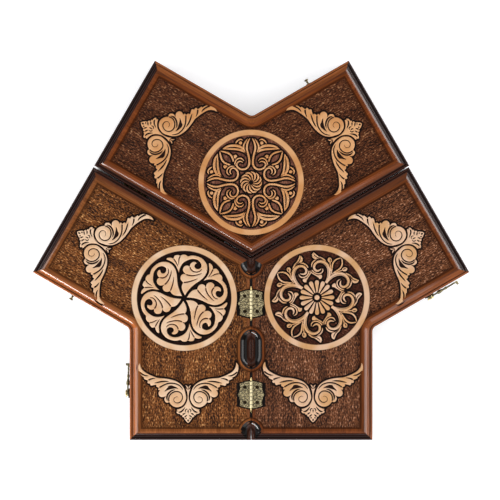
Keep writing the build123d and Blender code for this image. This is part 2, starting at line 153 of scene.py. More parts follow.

# Colours of the relief, by the distance in from its rim or from a groove's; the dark contour round it, the
# shade on its rim and the darker grooves are painted shade
contour_fade = (-contour_width, -0.75 * contour_width)
raised_fade = (-0.12, 0.02)
shade_fade = (0.05, 0.5)
groove_fade = (0.0, 0.28)

# Zones of a panel in millimetres: how nearly a height counts as the border's, the ground's or a hinge's
# land, how much wider than they are the disc and the ring count, and where the zones fade in or out
border_match = 0.08
ground_match = 0.3
land_match = 0.8
level_normal = 0.97
disc_slack = 0.4
ring_slack = 0.05
edge_match = 0.01
slope_fade = (10.5, 13.0)
slope_slack = 0.5
seam_fade = (7.5, 5.0)
seam_drop = 1.5
strip_fade = (8.0, 5.5)

# The dark lines: where each begins and where it is full, off the edge that it follows, how strong the thin
# ones are on a panel, and how far the chased ones waver. The lines on a panel are painted shade: at the step
# down from the border, at the ring's rims, in the crease behind the lip, round the hinges' leaves and in the
# seam's gap.
inner_line = (3.4, 2.2)
rim_line = (0.9, 0.2)
quirk_line = (0.9, 0.3)
leaf_line = (3.8, 2.8)
seam_line = (2.6, 1.5)
leaf_slant = 0.25
thin_line_share = 0.65
chasing_wave = 1.6
chasing_line = (0.75, 0.15)

# Gloss: the varnish on a panel's edges and on its seam's, and how rough the border and the carved parts are
edge_coat = 0.5
seam_coat = 0.3
border_roughness = 0.24
carved_roughness = 0.4

# Metal: its worn patches, how far over the border a hinge's barrel begins and is plain to see, and the joints
# between knuckles as shares of half a knuckle
patch_fade = (0.35, 0.65)
patch_roughness = 0.15
plate_fade = (0.4, 0.62)
barrel_fade = (0.2, 0.6)
joint_fade = (0.7, 0.95)

# The camera, straight above in metres, how far it sees, and its view at the height of the carving
camera_height = 2.5
camera_reach = 50.0
view_width = 822.5
view_centre = (-1.8, 0.4)
sensor_width = 36.0

# The table's reach and the lamps' distance from the board's middle, in metres
table_reach = 4.0
lamp_distance = 2.0

# The table's look, and how far about a point, in metres, the trays shade it in a gap between them
table_colour = (0.82, 0.82, 0.83, 1)
table_roughness = 0.7
gap_reach = 0.05
open_fade = (0.15, 0.45)
white_lift = 0.45

# The room: its tint, its level low down and straight overhead, and the heights, as a share of straight up,
# between which it grows bright and dark again
room_tint = (0.97, 0.98, 1.0, 1)
room_dark = 0.2
room_bright = 1.0
brightening = (0.45, 0.75)
darkening = (0.97, 0.9)

# Lamps: azimuth, lowest and highest elevation in degrees, width in metres, and brightness, white being 1
lamps = {
    "lower_left_window": (238, 4, 12, 1.4, 36),
    "upper_right_window": (30, 3, 22, 1.2, 8),
    "left_wall": (180, 2, 30, 1.5, 5.5),
    "right_wall": (0, 2, 30, 1.3, 5),
    "lower_right_wall": (300, 5, 35, 0.8, 2.5),
}


def unit(angle):
    """Unit vector at an angle in the plane of the table."""
    return np.array([math.cos(math.radians(angle)), math.sin(math.radians(angle))])


def circle(radius, angles):
    """Points of a circle at the angles, in degrees."""
    angles = np.radians(angles)
    return radius * np.stack([np.cos(angles), np.sin(angles)], 1)


bisectors = {"top": 90.0, "left": 210.0, "right": 330.0}
arm_angles = {
    ("left", "lower"): 270.0,
    ("left", "upper"): 150.0,
    ("right", "lower"): 270.0,
    ("right", "upper"): 30.0,
    ("top", "left"): 150.0,
    ("top", "right"): 30.0,
}
seam_normal = arm_angles["left", "upper"] - 90
bend_sine = math.sin(math.radians(bend / 2))
half_gap = seam_gap_left_right / 2 / bend_sine
corners = {
    "left": np.array(meeting_point) + half_gap * unit(bisectors["left"]),
    "right": np.array(meeting_point) + half_gap * unit(bisectors["right"]),
}
corners["top"] = corners["left"] + seam_gap_left_top * unit(seam_normal)
medallion_reach = (border_inner_inset + ring_margin + ring_outer_radius) / bend_sine


def medallion_middle(board):
    """Middle of a medallion on the table."""
    return corners[board] + medallion_reach * unit(bisectors[board]) + np.array(medallion_shifts[board])


def side_of(board, arm):
    """+1 where the tray lies on the left of its arm's seam edge, seen from the corner, -1 on the right."""
    return math.copysign(1, math.sin(math.radians(bisectors[board] - arm_angles[board, arm])))


def arm_to_row(points, board, arm):
    """Points along and across an arm, from its corner and its seam edge, as points of the table."""
    angle = arm_angles[board, arm]
    across = unit(angle + 90 * side_of(board, arm))
    return corners[board] + points[:, :1] * unit(angle) + points[:, 1:2] * across


def row_to_arm(point, board, arm):
    """A point of the table, along and across an arm."""
    angle = arm_angles[board, arm]
    away = point - corners[board]
    return away @ unit(angle), away @ unit(angle + 90 * side_of(board, arm))


# Outlines


def curve(points, step=carving_step):
    """Catmull-Rom curve through the points: on each stretch a cubic in t whose slope at a point is half the
    step between its neighbours. A third column, the width, is carried along in the same way."""
    p = np.asarray(points, float)
    p = np.vstack([2 * p[0] - p[1], p, 2 * p[-1] - p[-2]])
    pieces = []
    for a, b, c, d in zip(p[:-3], p[1:-2], p[2:-1], p[3:]):
        count = max(2, math.ceil(np.linalg.norm((c - b)[:2]) / step))
        t = np.arange(count)[:, None] / count
        twice = 2 * b + (c - a) * t
        twice = twice + (2 * a - 5 * b + 4 * c - d) * t**2
        twice = twice + (3 * b - a - 3 * c + d) * t**3
        pieces.append(0.5 * twice)
    return np.vstack(pieces + [p[-2:-1]])


def outline(runs):
    """Closed outline of runs that meet at corners; each run is a smooth curve."""
    return np.vstack([curve(run)[:-1] for run in runs])


def stroke(points):
    """Closed outline of a stroke: its middle line, moved half its width to each side."""
    path = curve(points)
    along = np.gradient(path[:, :2], axis=0)
    along /= np.linalg.norm(along, axis=1)[:, None]
    to_left = np.stack([-along[:, 1], along[:, 0]], 1) * path[:, 2:3] / 2
    return np.vstack([path[:, :2] + to_left, (path[:, :2] - to_left)[::-1]])


def wider(points, spread):
    """Closed outline of a stroke or a groove that is cut wider than it was drawn."""
    return stroke(np.asarray(points) * np.array([1.0, 1.0, spread]))


def groove(points):
    """Closed outline of a groove."""
    return wider(points, groove_spread)


def turned(points, angle):
    """Points turned about the origin."""
    return points[:, :1] * unit(angle) + points[:, 1:2] * unit(angle + 90)


def mirrored(points):
    """Points mirrored in the Y axis."""
    return points * np.array([-1.0, 1.0])


def anticlockwise(points):
    """The same closed outline, with its inside on the left."""
    following = np.roll(points, -1, 0)
    area = np.sum(points[:, 0] * following[:, 1] - following[:, 0] * points[:, 1])
    return points if area > 0 else points[::-1]


def left_normals(points):
    """Unit normals to the left of a closed outline, from each point's two neighbours."""
    along = np.roll(points, -1, 0) - np.roll(points, 1, 0)
    along /= np.maximum(np.linalg.norm(along, axis=1), 1e-9)[:, None]
    return np.stack([-along[:, 1], along[:, 0]], 1)


# Carving


def edges_of(shapes):
    """All edges of closed outlines as start and stop points."""
    return np.vstack(shapes), np.vstack([np.roll(shape, -1, 0) for shape in shapes])


def distances(points, start, stop):
    """Distance of each point to the nearest edge, at most far. The plane is taken in square tiles, each with
    the edges near it."""
    found = np.full(len(points), far)
    tiles = np.floor(points / tile).astype(int)
    low, high = np.minimum(start, stop) - far, np.maximum(start, stop) + far
    numbers, member = np.unique(tiles, axis=0, return_inverse=True)
    for number, corner in enumerate(numbers * tile):
        near = np.all((low <= corner + tile) & (high >= corner), axis=1)
        if not near.any():
            continue
        rows = np.flatnonzero(member.ravel() == number)
        a = start[near][None]
        edge = stop[near][None] - a
        from_a = points[rows][:, None] - a
        place = (from_a * edge).sum(-1) / np.maximum((edge**2).sum(-1), 1e-12)
        gap = from_a - np.clip(place, 0, 1)[..., None] * edge
        found[rows] = np.minimum(np.sqrt((gap**2).sum(-1).min(1)), far)
    return found


def windings(points, start, stop):
    """How many times the edges wind round each point: those above it that run to the left, less those that
    run to the right. The plane is taken in strips of X."""
    found = np.zeros(len(points))
    low, high = np.minimum(start[:, 0], stop[:, 0]), np.maximum(start[:, 0], stop[:, 0])
    strips = np.floor(points[:, 0] / strip).astype(int)
    for number in np.unique(strips):
        near = (low <= (number + 1) * strip) & (high >= number * strip)
        rows = np.flatnonzero(strips == number)
        p = points[rows][:, None]
        a, b = start[near][None], stop[near][None]
        edge, from_a = b - a, p - a
        turn = edge[..., 0] * from_a[..., 1] - edge[..., 1] * from_a[..., 0]
        to_right = (a[..., 0] <= p[..., 0]) & (b[..., 0] > p[..., 0]) & (turn < 0)
        to_left = (a[..., 0] > p[..., 0]) & (b[..., 0] <= p[..., 0]) & (turn > 0)
        found[rows] = to_left.sum(1) - to_right.sum(1)
    return found


def inset_of(points, shapes):
    """Signed distance to the rim of the shapes' union: above 0 inside, below 0 outside. Edges that lie inside
    another shape are no part of the rim."""
    start, stop = edges_of(shapes)
    edge = stop - start
    length = np.maximum(np.linalg.norm(edge, axis=1), 1e-9)
    outward = np.stack([edge[:, 1], -edge[:, 0]], 1) / length[:, None]
    buried = windings((start + stop) / 2 + just_outside * outward, start, stop) > 0
    distance = distances(points, start[~buried], stop[~buried])
    return np.where(windings(points, start, stop) > 0, distance, -distance)


def ring_beside(shape, offset):
    """Points at an offset to the left of a closed outline, each with that distance in a third column."""
    return np.column_stack([shape + offset * left_normals(shape), np.full(len(shape), abs(offset))])


def free_points(shapes, grooves, edge, disc):
    """Rings of points beside the outlines and a loose grid, without those too near an outline."""
    rings = []
    for shape in shapes:
        for offset in (edge, edge * inner_ring_share, *(-ring for ring in outer_rings)):
            rings.append(ring_beside(shape, offset))
    for groove in grooves:
        rings.append(ring_beside(groove, groove_ring))
    everything = np.vstack(shapes)
    low, high = everything.min(0) - grid_margin, everything.max(0) + grid_margin
    if disc:
        low, high = np.array([-disc, -disc]), np.array([disc, disc])
    columns = np.arange(low[0], high[0], grid_across)
    rows = np.arange(low[1], high[1], grid_up)
    across, up = np.meshgrid(columns, rows)
    across = across + np.where(np.arange(len(up)) % 2, grid_across / 2, 0)[:, None]
    grid = np.stack([across.ravel(), up.ravel(), np.full(across.size, clearance)], 1)
    free = np.vstack(rings + [grid])
    clear = distances(free[:, :2], *edges_of(shapes + grooves))
    free = free[clear >= clearance_share * np.minimum(free[:, 2], clearance), :2]
    if disc:
        free = free[np.linalg.norm(free, axis=1) < disc - disc_rim]
    return free


def triangles(closed, free):
    """Points and triangles of a plane that holds closed outlines and free points."""
    first = np.cumsum([0] + [len(shape) for shape in closed])
    links = []
    for begin, shape in zip(first, closed):
        numbers = np.arange(len(shape))
        links.append(np.stack([begin + numbers, begin + np.roll(numbers, -1)], 1))
    everything = np.vstack(closed + [free]).tolist()
    result = delaunay_2d_cdt(everything, np.vstack(links).tolist(), [], 0, same_point, False)
    points, faces = result[0], result[2]
    return np.array([tuple(point) for point in points]), np.array([tuple(f) for f in faces if len(f) == 3])


def lift_of(inset, cut, edge, dome):
    """Height over the ground. Inside the rim it rises over the width of edge, and by the share of dome on
    beyond it; outside it falls at once, and a groove lowers it by its own inset."""
    rise = rim_share + (1 - rim_share) * np.sin(np.clip(inset / edge, 0, 1) * math.pi / 2)
    fall = rim_share * np.clip(1 + inset / fall_width, 0, 1)
    height = np.where(inset >= 0, rise, fall)
    crown = 1 - np.exp(-np.maximum(inset, 0))
    lift = relief_height * height * (1 - dome) + relief_height * dome * height * crown
    return np.maximum(lift - np.minimum(groove_slope * cut, groove_depth), 0) + sheet_lift


def carved(name, shapes, grooves, board, place, edge, dome, disc=None):
    """A carved sheet over the ground, with its inset and cut at each point. It fills a disc, or else ends
    with the contour round the shapes."""
    shapes = [anticlockwise(shape) for shape in shapes]
    grooves = [anticlockwise(groove) for groove in grooves]
    closed = shapes + grooves
    if disc:
        closed = closed + [circle(disc, np.arange(0, 360, disc_step))]
    flat, faces = triangles(closed, free_points(shapes, grooves, edge, disc))
    middle = flat[faces].mean(1)
    if disc:
        faces = faces[np.linalg.norm(middle, axis=1) < disc]
    else:
        faces = faces[inset_of(middle, shapes) > -contour_width]
    inset = inset_of(flat, shapes)
    cut = np.zeros(len(flat))
    if grooves:
        cut = np.maximum(inset_of(flat, grooves), 0)
    height = ground_height + lift_of(inset, cut, edge, dome)
    sheet(name, flat, faces, height, place, board, {"inset": inset, "cut": cut})


def sheet(name, flat, faces, height, place, board, values):
    """Puts a carved sheet down in the row frame, with values for its material at each point."""
    points = np.column_stack([place(flat), height]) / 1000
    corner = points[faces]
    upward = np.cross(corner[:, 1] - corner[:, 0], corner[:, 2] - corner[:, 0])[:, 2] > 0
    faces = np.where(upward[:, None], faces, faces[:, ::-1])
    used, faces = np.unique(faces, return_inverse=True)
    faces = faces.reshape(-1, 3)
    mesh = bpy.data.meshes.new(name)
    mesh.from_pydata(points[used].tolist(), [], faces.tolist())
    for key, numbers in values.items():
        attribute = mesh.attributes.new(key, "FLOAT", "POINT")
        attribute.data.foreach_set("value", numbers[used].astype(np.float32))
    mesh.polygons.foreach_set("use_smooth", np.ones(len(faces), bool))
    piece = bpy.data.objects.new(name, mesh)
    bpy.context.scene.collection.objects.link(piece)
    piece.data.materials.append(materials[name])
    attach(piece, board + "_board")


# Left medallion: six leaves that swirl round the centre
swirl_leaf = [
    [(4.5, 1.0), (10, 0.8), (20, -0.8), (30, -4.3), (40, -9.0), (50, -11.4), (60, -9.2), (67, -3.5),
     (70.8, 5), (70.8, 14), (67.8, 23), (62.6, 29.2)],
    [(62.6, 29.2), (62.8, 34), (60.5, 38.2), (57.2, 40.2)],
    [(57.2, 40.2), (56.4, 44.5), (52.5, 48.6), (47.7, 47.8)],
    [(47.7, 47.8), (46.3, 53.2), (43, 57.3), (40.6, 57.2)],
    [(40.6, 57.2), (41.2, 51.4), (41.3, 45.4), (38.9, 37.8), (31.7, 28.3)],
    [(31.7, 28.3), (37, 30.2), (43, 30.9), (50, 30), (57, 26), (62.5, 20.5), (65.3, 13), (64.3, 6.5),
     (61, 2.6), (57.3, 1.4), (53.5, 3.4), (51.9, 7.5), (53.3, 11.2), (56.5, 12), (60.4, 11.0)],
    [(60.4, 11.0), (60.6, 14.5), (58, 17.8), (54.5, 19.2), (51.2, 18.9), (49.6, 18.0)],
    [(49.6, 18.0), (49.4, 22), (46.5, 25.3), (42.5, 26.2), (38.5, 24.7), (36.2, 21), (35.3, 17.5)],
    [(35.3, 17.5), (34.2, 20.7), (31, 22.8), (27, 22.6), (23.5, 20.2), (22, 16.8), (21.5, 14.3)],
    [(21.5, 14.3), (17, 14), (12.5, 11.8), (8.5, 7.5), (4.5, 1.0)],
]
swirl_grooves = [
    [(21.8, 13.8, 1.2), (24.5, 10, 1.3), (29, 5, 1.2), (34, 0.6, 1.0), (39, -3.2, 0.4)],
    [(35.4, 16.9, 1.2), (36.2, 12.5, 1.3), (39, 6.5, 1.2), (43.5, 1, 1.1), (47, -2.5, 0.9),
     (50.3, -4.8, 0.4)],
    [(49.3, 17.5, 1.2), (46.7, 14.3, 1.3), (45.6, 9.5, 1.2), (47, 4.5, 1.1), (50, 0.9, 1.0),
     (53.5, -0.9, 0.9), (56.5, -1.3, 0.4)],
    [(47.5, 47.3, 1.2), (44.5, 41.5, 1.1), (42, 37.5, 0.9), (39.8, 34.3, 0.3)],
    [(56.7, 40.1, 1.2), (52, 39.6, 1.1), (47, 37.3, 0.9), (42.8, 35.3, 0.3)],
]

# Right medallion: a daisy and four stems, each with a scroll to either side; half a stem, in its own frame
scroll_strokes = [
    [(0.0, 28, 4.2), (0.4, 34, 4.4), (2, 40, 4.6), (5, 46, 4.9), (9.3, 51.2, 5.0), (14.5, 54.4, 5.0),
     (20.5, 55.2, 4.8), (25.8, 53.6, 4.4), (29.6, 50.2, 4.0), (31.4, 45.8, 3.8), (31, 41.6, 3.6),
     (28.6, 38.2, 3.4), (25, 36.9, 3.2), (21.8, 38.1, 2.8), (19.8, 41.2, 2.0), (18.9, 44.8, 0.9)],
    [(33.6, 53.2, 1.0), (35.6, 49.6, 2.0), (36.4, 45.4, 2.1), (35.8, 41.6, 2.0), (33.8, 38.0, 1.3)],
    [(17.0, 45.8, 0.9), (15.0, 42.4, 1.7), (15.0, 38.9, 1.9), (17.2, 35.4, 2.0), (21.4, 33.2, 2.0),
     (26.2, 32.8, 2.1), (31, 34.2, 1.9)],
    [(0.2, 44.5, 1.2), (2.8, 51, 2.0), (6.2, 58, 2.4), (7.4, 64, 2.4), (5.6, 70.4, 2.2), (0.5, 76.4, 1.5)],
    [(3.2, 48.5, 1.2), (7.4, 54.5, 1.7), (10.8, 58.6, 1.7), (13.2, 61.5, 1.2)],
]
scroll_leaves = [
    [[(12.0, 28.0), (10.3, 31.0), (11.4, 34.4), (13.6, 35.8)],
     [(13.6, 35.8), (15.8, 34.2), (18.4, 31.9), (23.8, 31.2), (30.0, 31.4), (33.3, 32.5)],
     [(33.3, 32.5), (31.2, 30.2), (27.6, 29.2), (20, 29.3), (14.6, 29.2)],
     [(14.6, 29.2), (13.3, 28.2), (12.0, 28.0)]],
    [[(17.4, 58.6), (22.5, 60.3), (28, 60.4), (32.3, 59.2), (37.5, 59.6), (44, 60.6)],
     [(44, 60.6), (44.3, 56.9), (42, 53.4), (38.4, 51.9), (35.6, 52.2)],
     [(35.6, 52.2), (33.4, 54.4), (29.6, 56.4), (23.5, 57.6), (17.4, 58.6)]],
    [[(11, 60.5), (10.6, 63.2), (12.9, 66.6), (16.4, 67.6)],
     [(16.4, 67.6), (18.4, 65.2), (17.6, 61.7), (14.2, 59.6), (11, 60.5)]],
]
scroll_grooves = [
    [(1.2, 33, 0.2), (3.2, 40, 0.4), (6.2, 46, 0.45), (10.2, 50.4, 0.45), (15, 53, 0.45), (20.3, 53.7, 0.45),
     (25, 52.2, 0.4), (28.4, 49.2, 0.4), (29.8, 45.6, 0.4), (29.4, 42.2, 0.35), (27.2, 39.6, 0.2)],
    [(23, 58.4, 0.3), (29, 57.8, 0.9), (34, 56.4, 0.9), (39, 56.8, 0.9), (42.4, 58.4, 0.3)],
    [(12.2, 61.2, 0.3), (13.6, 63.6, 1.0), (15.6, 66.2, 0.3)],
]
daisy_petal = [
    [(8, -1.0), (12, -1.5), (18, -2.4), (24, -3.4), (27.4, -2.6), (28.6, 0), (27.4, 2.6), (24, 3.4),
     (18, 2.4), (12, 1.5), (8, 1.0)],
    [(8, 1.0), (8, -1.0)],
]

# Top medallion: a small swirl and eight scrolls that meet in pairs; one of the eight
pair_strokes = [
    [(1.9, 72.6, 1.2), (5, 67, 2.6), (6.8, 60.5, 3.0), (6.8, 54.5, 3.0), (5.2, 48, 3.0), (3.7, 42, 3.0),
     (3.0, 36, 3.0), (3.2, 30, 3.0), (5.4, 25.2, 2.9), (9, 22.4, 2.8), (14, 21.5, 2.8), (19, 22.7, 2.7),
     (22.7, 25.9, 2.6), (23.8, 29.8, 2.4), (22.2, 33, 2.2), (19, 34.6, 2.0), (15.6, 34.2, 1.7),
     (13.5, 32.4, 0.8)],
    [(11.8, 35.2, 0.8), (14.4, 38.5, 1.8), (18, 39.8, 2.1), (22.1, 38.8, 2.2), (25.3, 35.5, 2.2),
     (26.6, 31, 2.0), (25.6, 27.4, 1.0)],
    [(5.9, 72.0, 0.8), (9.2, 67.2, 2.2), (11.9, 62, 2.5), (12.4, 57, 2.5), (11.2, 52.4, 2.2),
     (9.2, 49.4, 0.9)],
    [(13.4, 69.2, 0.9), (17, 71.0, 2.2), (21, 69.6, 2.4), (24.2, 66.6, 2.2), (25.4, 63.8, 0.9)],
    [(29, 34.2, 2.2), (30.6, 40, 2.7), (33.4, 44.8, 2.7), (38, 48.3, 2.7), (44.6, 50.4, 2.6),
     (51.0, 51.6, 1.2)],
]
pair_leaves = [
    [[(7.9, 45.8), (12, 49.2), (18, 51.6), (25, 53.0), (33, 53.6), (47.8, 54.8)],
     [(47.8, 54.8), (40.5, 60.2), (33, 62.4), (25.2, 62.7), (18.4, 61.2), (13.5, 58.0)],
     [(13.5, 58.0), (13.2, 53.6), (11.2, 49.8), (7.9, 45.8)]],
    [[(14.7, 65), (15.5, 67), (17.5, 67.9), (19.5, 67), (20.3, 65), (19.5, 63), (17.5, 62.1), (15.5, 63),
      (14.7, 65)]],
    [[(22.3, 42.8), (25, 45.6), (28.8, 44.8)], [(28.8, 44.8), (28.4, 41), (26, 38.7)],
     [(26, 38.7), (24.4, 41.2), (22.3, 42.8)]],
]
pair_grooves = [
    [(14.6, 54.6, 0.4), (20, 56.4, 1.1), (27, 57.5, 1.3), (35, 57.3, 1.1), (42, 56.3, 0.4)],
]
swirl_petal = [(3.2, 1.5, 0.9), (5.8, 4.4, 2.0), (7.6, 8.0, 2.7), (7.6, 12.0, 3.1), (5.4, 15.5, 2.8),
               (0.9, 17.6, 1.2)]

# Wings: half of the spread pair, with its volute, and half of the fan between them
wing = [
    [(3.4, -5), (3.3, 0), (5.2, 5), (8.3, 9.6), (12.5, 12.4), (18, 13.7), (23, 12.7), (27.5, 9.8),
     (31.3, 5.0)],
    [(31.3, 5.0), (33.8, 6.2), (37, 5.2), (39, 1.5), (38.6, -2), (36.9, -4.9)],
    [(36.9, -4.9), (40, -3.4), (44, -3), (47.6, -5.2), (48.9, -9), (47.8, -12.5), (46.3, -14.3)],
    [(46.3, -14.3), (48.6, -14.6), (49.4, -16.3), (48.2, -18.2)],
    [(48.2, -18.2), (50.3, -19.2), (52.2, -20.4), (52.6, -23.4)],
    [(52.6, -23.4), (57, -22.6), (60.6, -21.7), (62.3, -23.2), (62.7, -25.4)],
    [(62.7, -25.4), (65.8, -25.6), (67.2, -27.4), (66.2, -30.2)],
    [(66.2, -30.2), (70.5, -32.1), (73, -33.5), (72.8, -35.6)],
    [(72.8, -35.6), (76.5, -37.4), (80.2, -41), (81.7, -45)],
    [(81.7, -45), (82.6, -50.5), (82, -56), (79, -60.6)],
    [(79, -60.6), (78.4, -55), (76.5, -50), (72.5, -45.2), (66, -41.2), (58, -37.5), (50, -34.8),
     (40, -33.9), (30, -32.4), (20, -29.2), (11.5, -23.5), (6.2, -15.5), (3.4, -5)],
]
wing_grooves = [
    [(31.4, 4.3, 1.3), (32, 0, 1.2), (30.9, -5, 1.2), (27, -9.6, 1.2), (21, -12.2, 1.2), (15, -11.7, 1.1),
     (10.7, -8, 1.1), (9.2, -3, 1.0), (10.6, 2, 1.0), (14, 5.5, 1.0), (18.3, 6.4, .9), (22.3, 4.5, .7),
     (23.6, 0.8, .6), (21.8, -2.6, .6), (18.4, -3.9, .5), (16, -2.8, .3)],
    [(34, 3.2, .5), (35, -2, 1.4), (33.7, -7, 1.5), (30.3, -11.3, 1.5), (26, -14.2, 1.3), (21, -15.4, .4)],
    [(38.8, -12.3, .6), (35.5, -15.2, 1.4), (31, -17.8, 2.4), (26, -19.2, 2.6), (20.5, -18.6, 1.4),
     (16.5, -17.2, .4)],
    [(23, -20.6, .4), (27, -20.9, 1.6), (31, -20.1, 1.8), (34, -18.2, .4)],
    [(47.6, -18.6, 1.4), (44, -20.8, 1.3), (40, -23, 1.3), (35, -25, 1.3), (29, -26, 1.3), (22, -25.4, 1.2),
     (15, -22.6, 1.1), (10.7, -18.4, .9), (8.6, -15, .4)],
    [(55.5, -26.1, .5), (50, -27.3, 1.2), (44, -28.6, 1.4), (37, -29.1, 1.2), (31, -28.5, .4)],
    [(65.6, -30.6, 1.5), (62, -32.6, 1.4), (57, -33.8, 1.0), (53.5, -34.0, .4)],
    [(80.9, -44.5, 1.5), (77.5, -42, 1.5), (73.5, -39.6, 1.4), (69.5, -38.3, 1.2), (65, -38.2, .4)],
]
fan = [
    [(0, -15.8), (2.2, -16.4), (4.4, -19.2)],
    [(4.4, -19.2), (3.2, -15.5), (1.6, -11), (0.8, -5), (1.1, 0), (2.6, 5), (5.3, 10), (8.7, 13.3),
     (12.8, 15.5), (18.8, 17.4)],
    [(18.8, 17.4), (18.2, 19.2), (17.2, 19.8)],
    [(17.2, 19.8), (19.2, 21), (18.7, 22.9), (16.5, 24.4), (13.2, 24.8)],
    [(13.2, 24.8), (12.8, 26.4), (11, 26.9), (9.4, 26.3)],
    [(9.4, 26.3), (9.8, 28.6), (8.2, 30), (6.2, 30.3)],
    [(6.2, 30.3), (6.2, 32), (4.8, 34.7), (2.4, 37.6), (0, 39.6)],
]
fan_grooves = [
    [(4.9, 13.2, .4), (7.6, 17.1, 1.2), (10.6, 20.1, 1.4), (13.5, 21.5, 1.3), (16.3, 21.5, .5)],
    [(9.2, 25.9, 1.3), (6.8, 24.3, 1.2), (4.4, 22.9, .6)],
    [(6.0, 29.9, 1.3), (3.6, 27.9, 1.2), (1.6, 26.0, .5)],
    [(1.8, 31.0, .5), (3.2, 31.9, 1.3), (4.4, 32.9, .5)],
    [(0.6, 16.9, .6), (3.0, 16.7, .9), (4.5, 19, 1.0), (3.9, 22.3, .4)],
]
fan_middle_grooves = [
    [(0, 33.0, .3), (0, 35.4, 1.7), (0, 37.8, .3)],
    [(0, 17.6, .5), (0, 20, 1.2), (0, 23.6, .4)],
]
tip = [(0.9, -16.2, 0.8), (1.2, -18.4, 1.7), (2.2, -20.6, 1.9), (4.4, -22.6, 0.8)]


# Shader nodes


def paint(code):
    """Linear colour from six hexadecimal digits of a screen colour."""
    parts = np.array([int(code[k:k + 2], 16) / 255 for k in (0, 2, 4)])
    linear = np.where(parts <= 0.04045, parts / 12.92, ((parts + 0.055) / 1.055) ** 2.4)
    return (*linear, 1.0)


def put(tree, socket, value):
    """Links an output to an input, or sets the input to a plain value."""
    if isinstance(value, bpy.types.NodeSocket):
        tree.links.new(value, socket)
    else:
        socket.default_value = value


def node(tree, kind, values=(), **settings):
    """New node; values go to its inputs in order or by name."""
    made = tree.nodes.new("ShaderNode" + kind)
    for key, setting in settings.items():
        setattr(made, key, setting)
    for key, value in values.items() if isinstance(values, dict) else enumerate(values):
        put(tree, made.inputs[key], value)
    return made


def calc(tree, operation, *values):
    """Result of a math node."""
    return node(tree, "Math", values, operation=operation).outputs[0]


def plus(tree, first, second):
    """Sum of two values."""
    return calc(tree, "ADD", first, second)


def minus(tree, first, second):
    """Difference of two values."""
    return calc(tree, "SUBTRACT", first, second)


def times(tree, first, second):
    """Product of two values."""
    return calc(tree, "MULTIPLY", first, second)


def larger(tree, first, second):
    """The larger of two values."""
    return calc(tree, "MAXIMUM", first, second)


def smaller(tree, first, second):
    """The smaller of two values."""
    return calc(tree, "MINIMUM", first, second)


def below(tree, value, limit):
    """1 where the value is below the limit."""
    return calc(tree, "LESS_THAN", value, limit)


def outside(tree, mask):
    """1 where the mask is 0, and 0 where it is 1."""
    return minus(tree, 1, mask)


def apart(tree, first, second):
    """How far two values are apart."""
    return calc(tree, "ABSOLUTE", minus(tree, first, second))


def hypotenuse(tree, across, up):
    """Length of the longest side of a right-angled triangle."""
    return calc(tree, "SQRT", plus(tree, calc(tree, "POWER", across, 2), calc(tree, "POWER", up, 2)))


def fade(tree, value, start, stop):
    """0 below start, 1 above stop, smooth between; start may be the larger."""
    made = node(tree, "MapRange", {"Value": value, "From Min": start, "From Max": stop},
                interpolation_type="SMOOTHSTEP")
    return made.outputs["Result"]


def mix(tree, factor, first, second):
    """Two colours mixed."""
    made = tree.nodes.new("ShaderNodeMix")
    made.data_type = "RGBA"
    for key, value in ((0, factor), (6, first), (7, second)):
        put(tree, made.inputs[key], value)
    return made.outputs[2]


def mix_values(tree, factor, first, second):
    """First where the factor is 0 and second where it is 1."""
    return plus(tree, first, times(tree, factor, minus(tree, second, first)))


def scaled(tree, place, scale):
    """A place times a factor for each axis."""
    return node(tree, "Mapping", {"Vector": place, "Scale": scale}).outputs[0]


def noise(tree, place, scale, detail, roughness=0.5, distortion=0.0):
    """Noise over a place, scaled evenly or by a factor for each axis."""
    if isinstance(scale, tuple):
        place = scaled(tree, place, scale)
        scale = 1.0
    values = {"Vector": place, "Scale": scale, "Detail": detail, "Roughness": roughness,
              "Distortion": distortion}
    return node(tree, "TexNoise", values).outputs[0]


def swing(tree, value, weight):
    """How far a noise is over its middle, times a weight."""
    return times(tree, minus(tree, value, 0.5), weight)


def group(name, inputs, outputs):
    """Empty node group with the sockets named; returns its tree, its input sockets and its output node."""
    tree = bpy.data.node_groups.new(name, "ShaderNodeTree")
    kinds = {"v": "NodeSocketVector", "c": "NodeSocketColor", "f": "NodeSocketFloat"}
    for socket, kind in inputs.items():
        tree.interface.new_socket(socket, in_out="INPUT", socket_type=kinds[kind])
    for socket, kind in outputs.items():
        tree.interface.new_socket(socket, in_out="OUTPUT", socket_type=kinds[kind])
    entry = tree.nodes.new("NodeGroupInput")
    return tree, entry.outputs, tree.nodes.new("NodeGroupOutput")


def give_out(tree, out, values):
    """Links values to the outputs of a node group by name."""
    for socket, value in values.items():
        tree.links.new(value, out.inputs[socket])


def use(tree, name, values):
    """Places a node group and returns its outputs."""
    made = tree.nodes.new("ShaderNodeGroup")
    made.node_tree = bpy.data.node_groups[name]
    for key, value in values.items():
        put(tree, made.inputs[key], value)
    return made.outputs


def grain_group():
    """Wood grain: long fibres along X and slow bands across them. Coordinates are in millimetres."""
    tree, given, out = group("grain", {"Place": "v", "Dark": "c", "Light": "c"},
                             {"Colour": "c", "Height": "f"})
    fibre = fade(tree, noise(tree, given["Place"], fibre_scale, detail=5.0, roughness=0.65), *grain_fade)
    band = fade(tree, noise(tree, given["Place"], band_scale, detail=3.0, distortion=0.6), *grain_fade)
    both = plus(tree, times(tree, fibre, fibre_share), times(tree, band, 1 - fibre_share))
    give_out(tree, out, {"Colour": mix(tree, both, given["Dark"], given["Light"]), "Height": fibre})


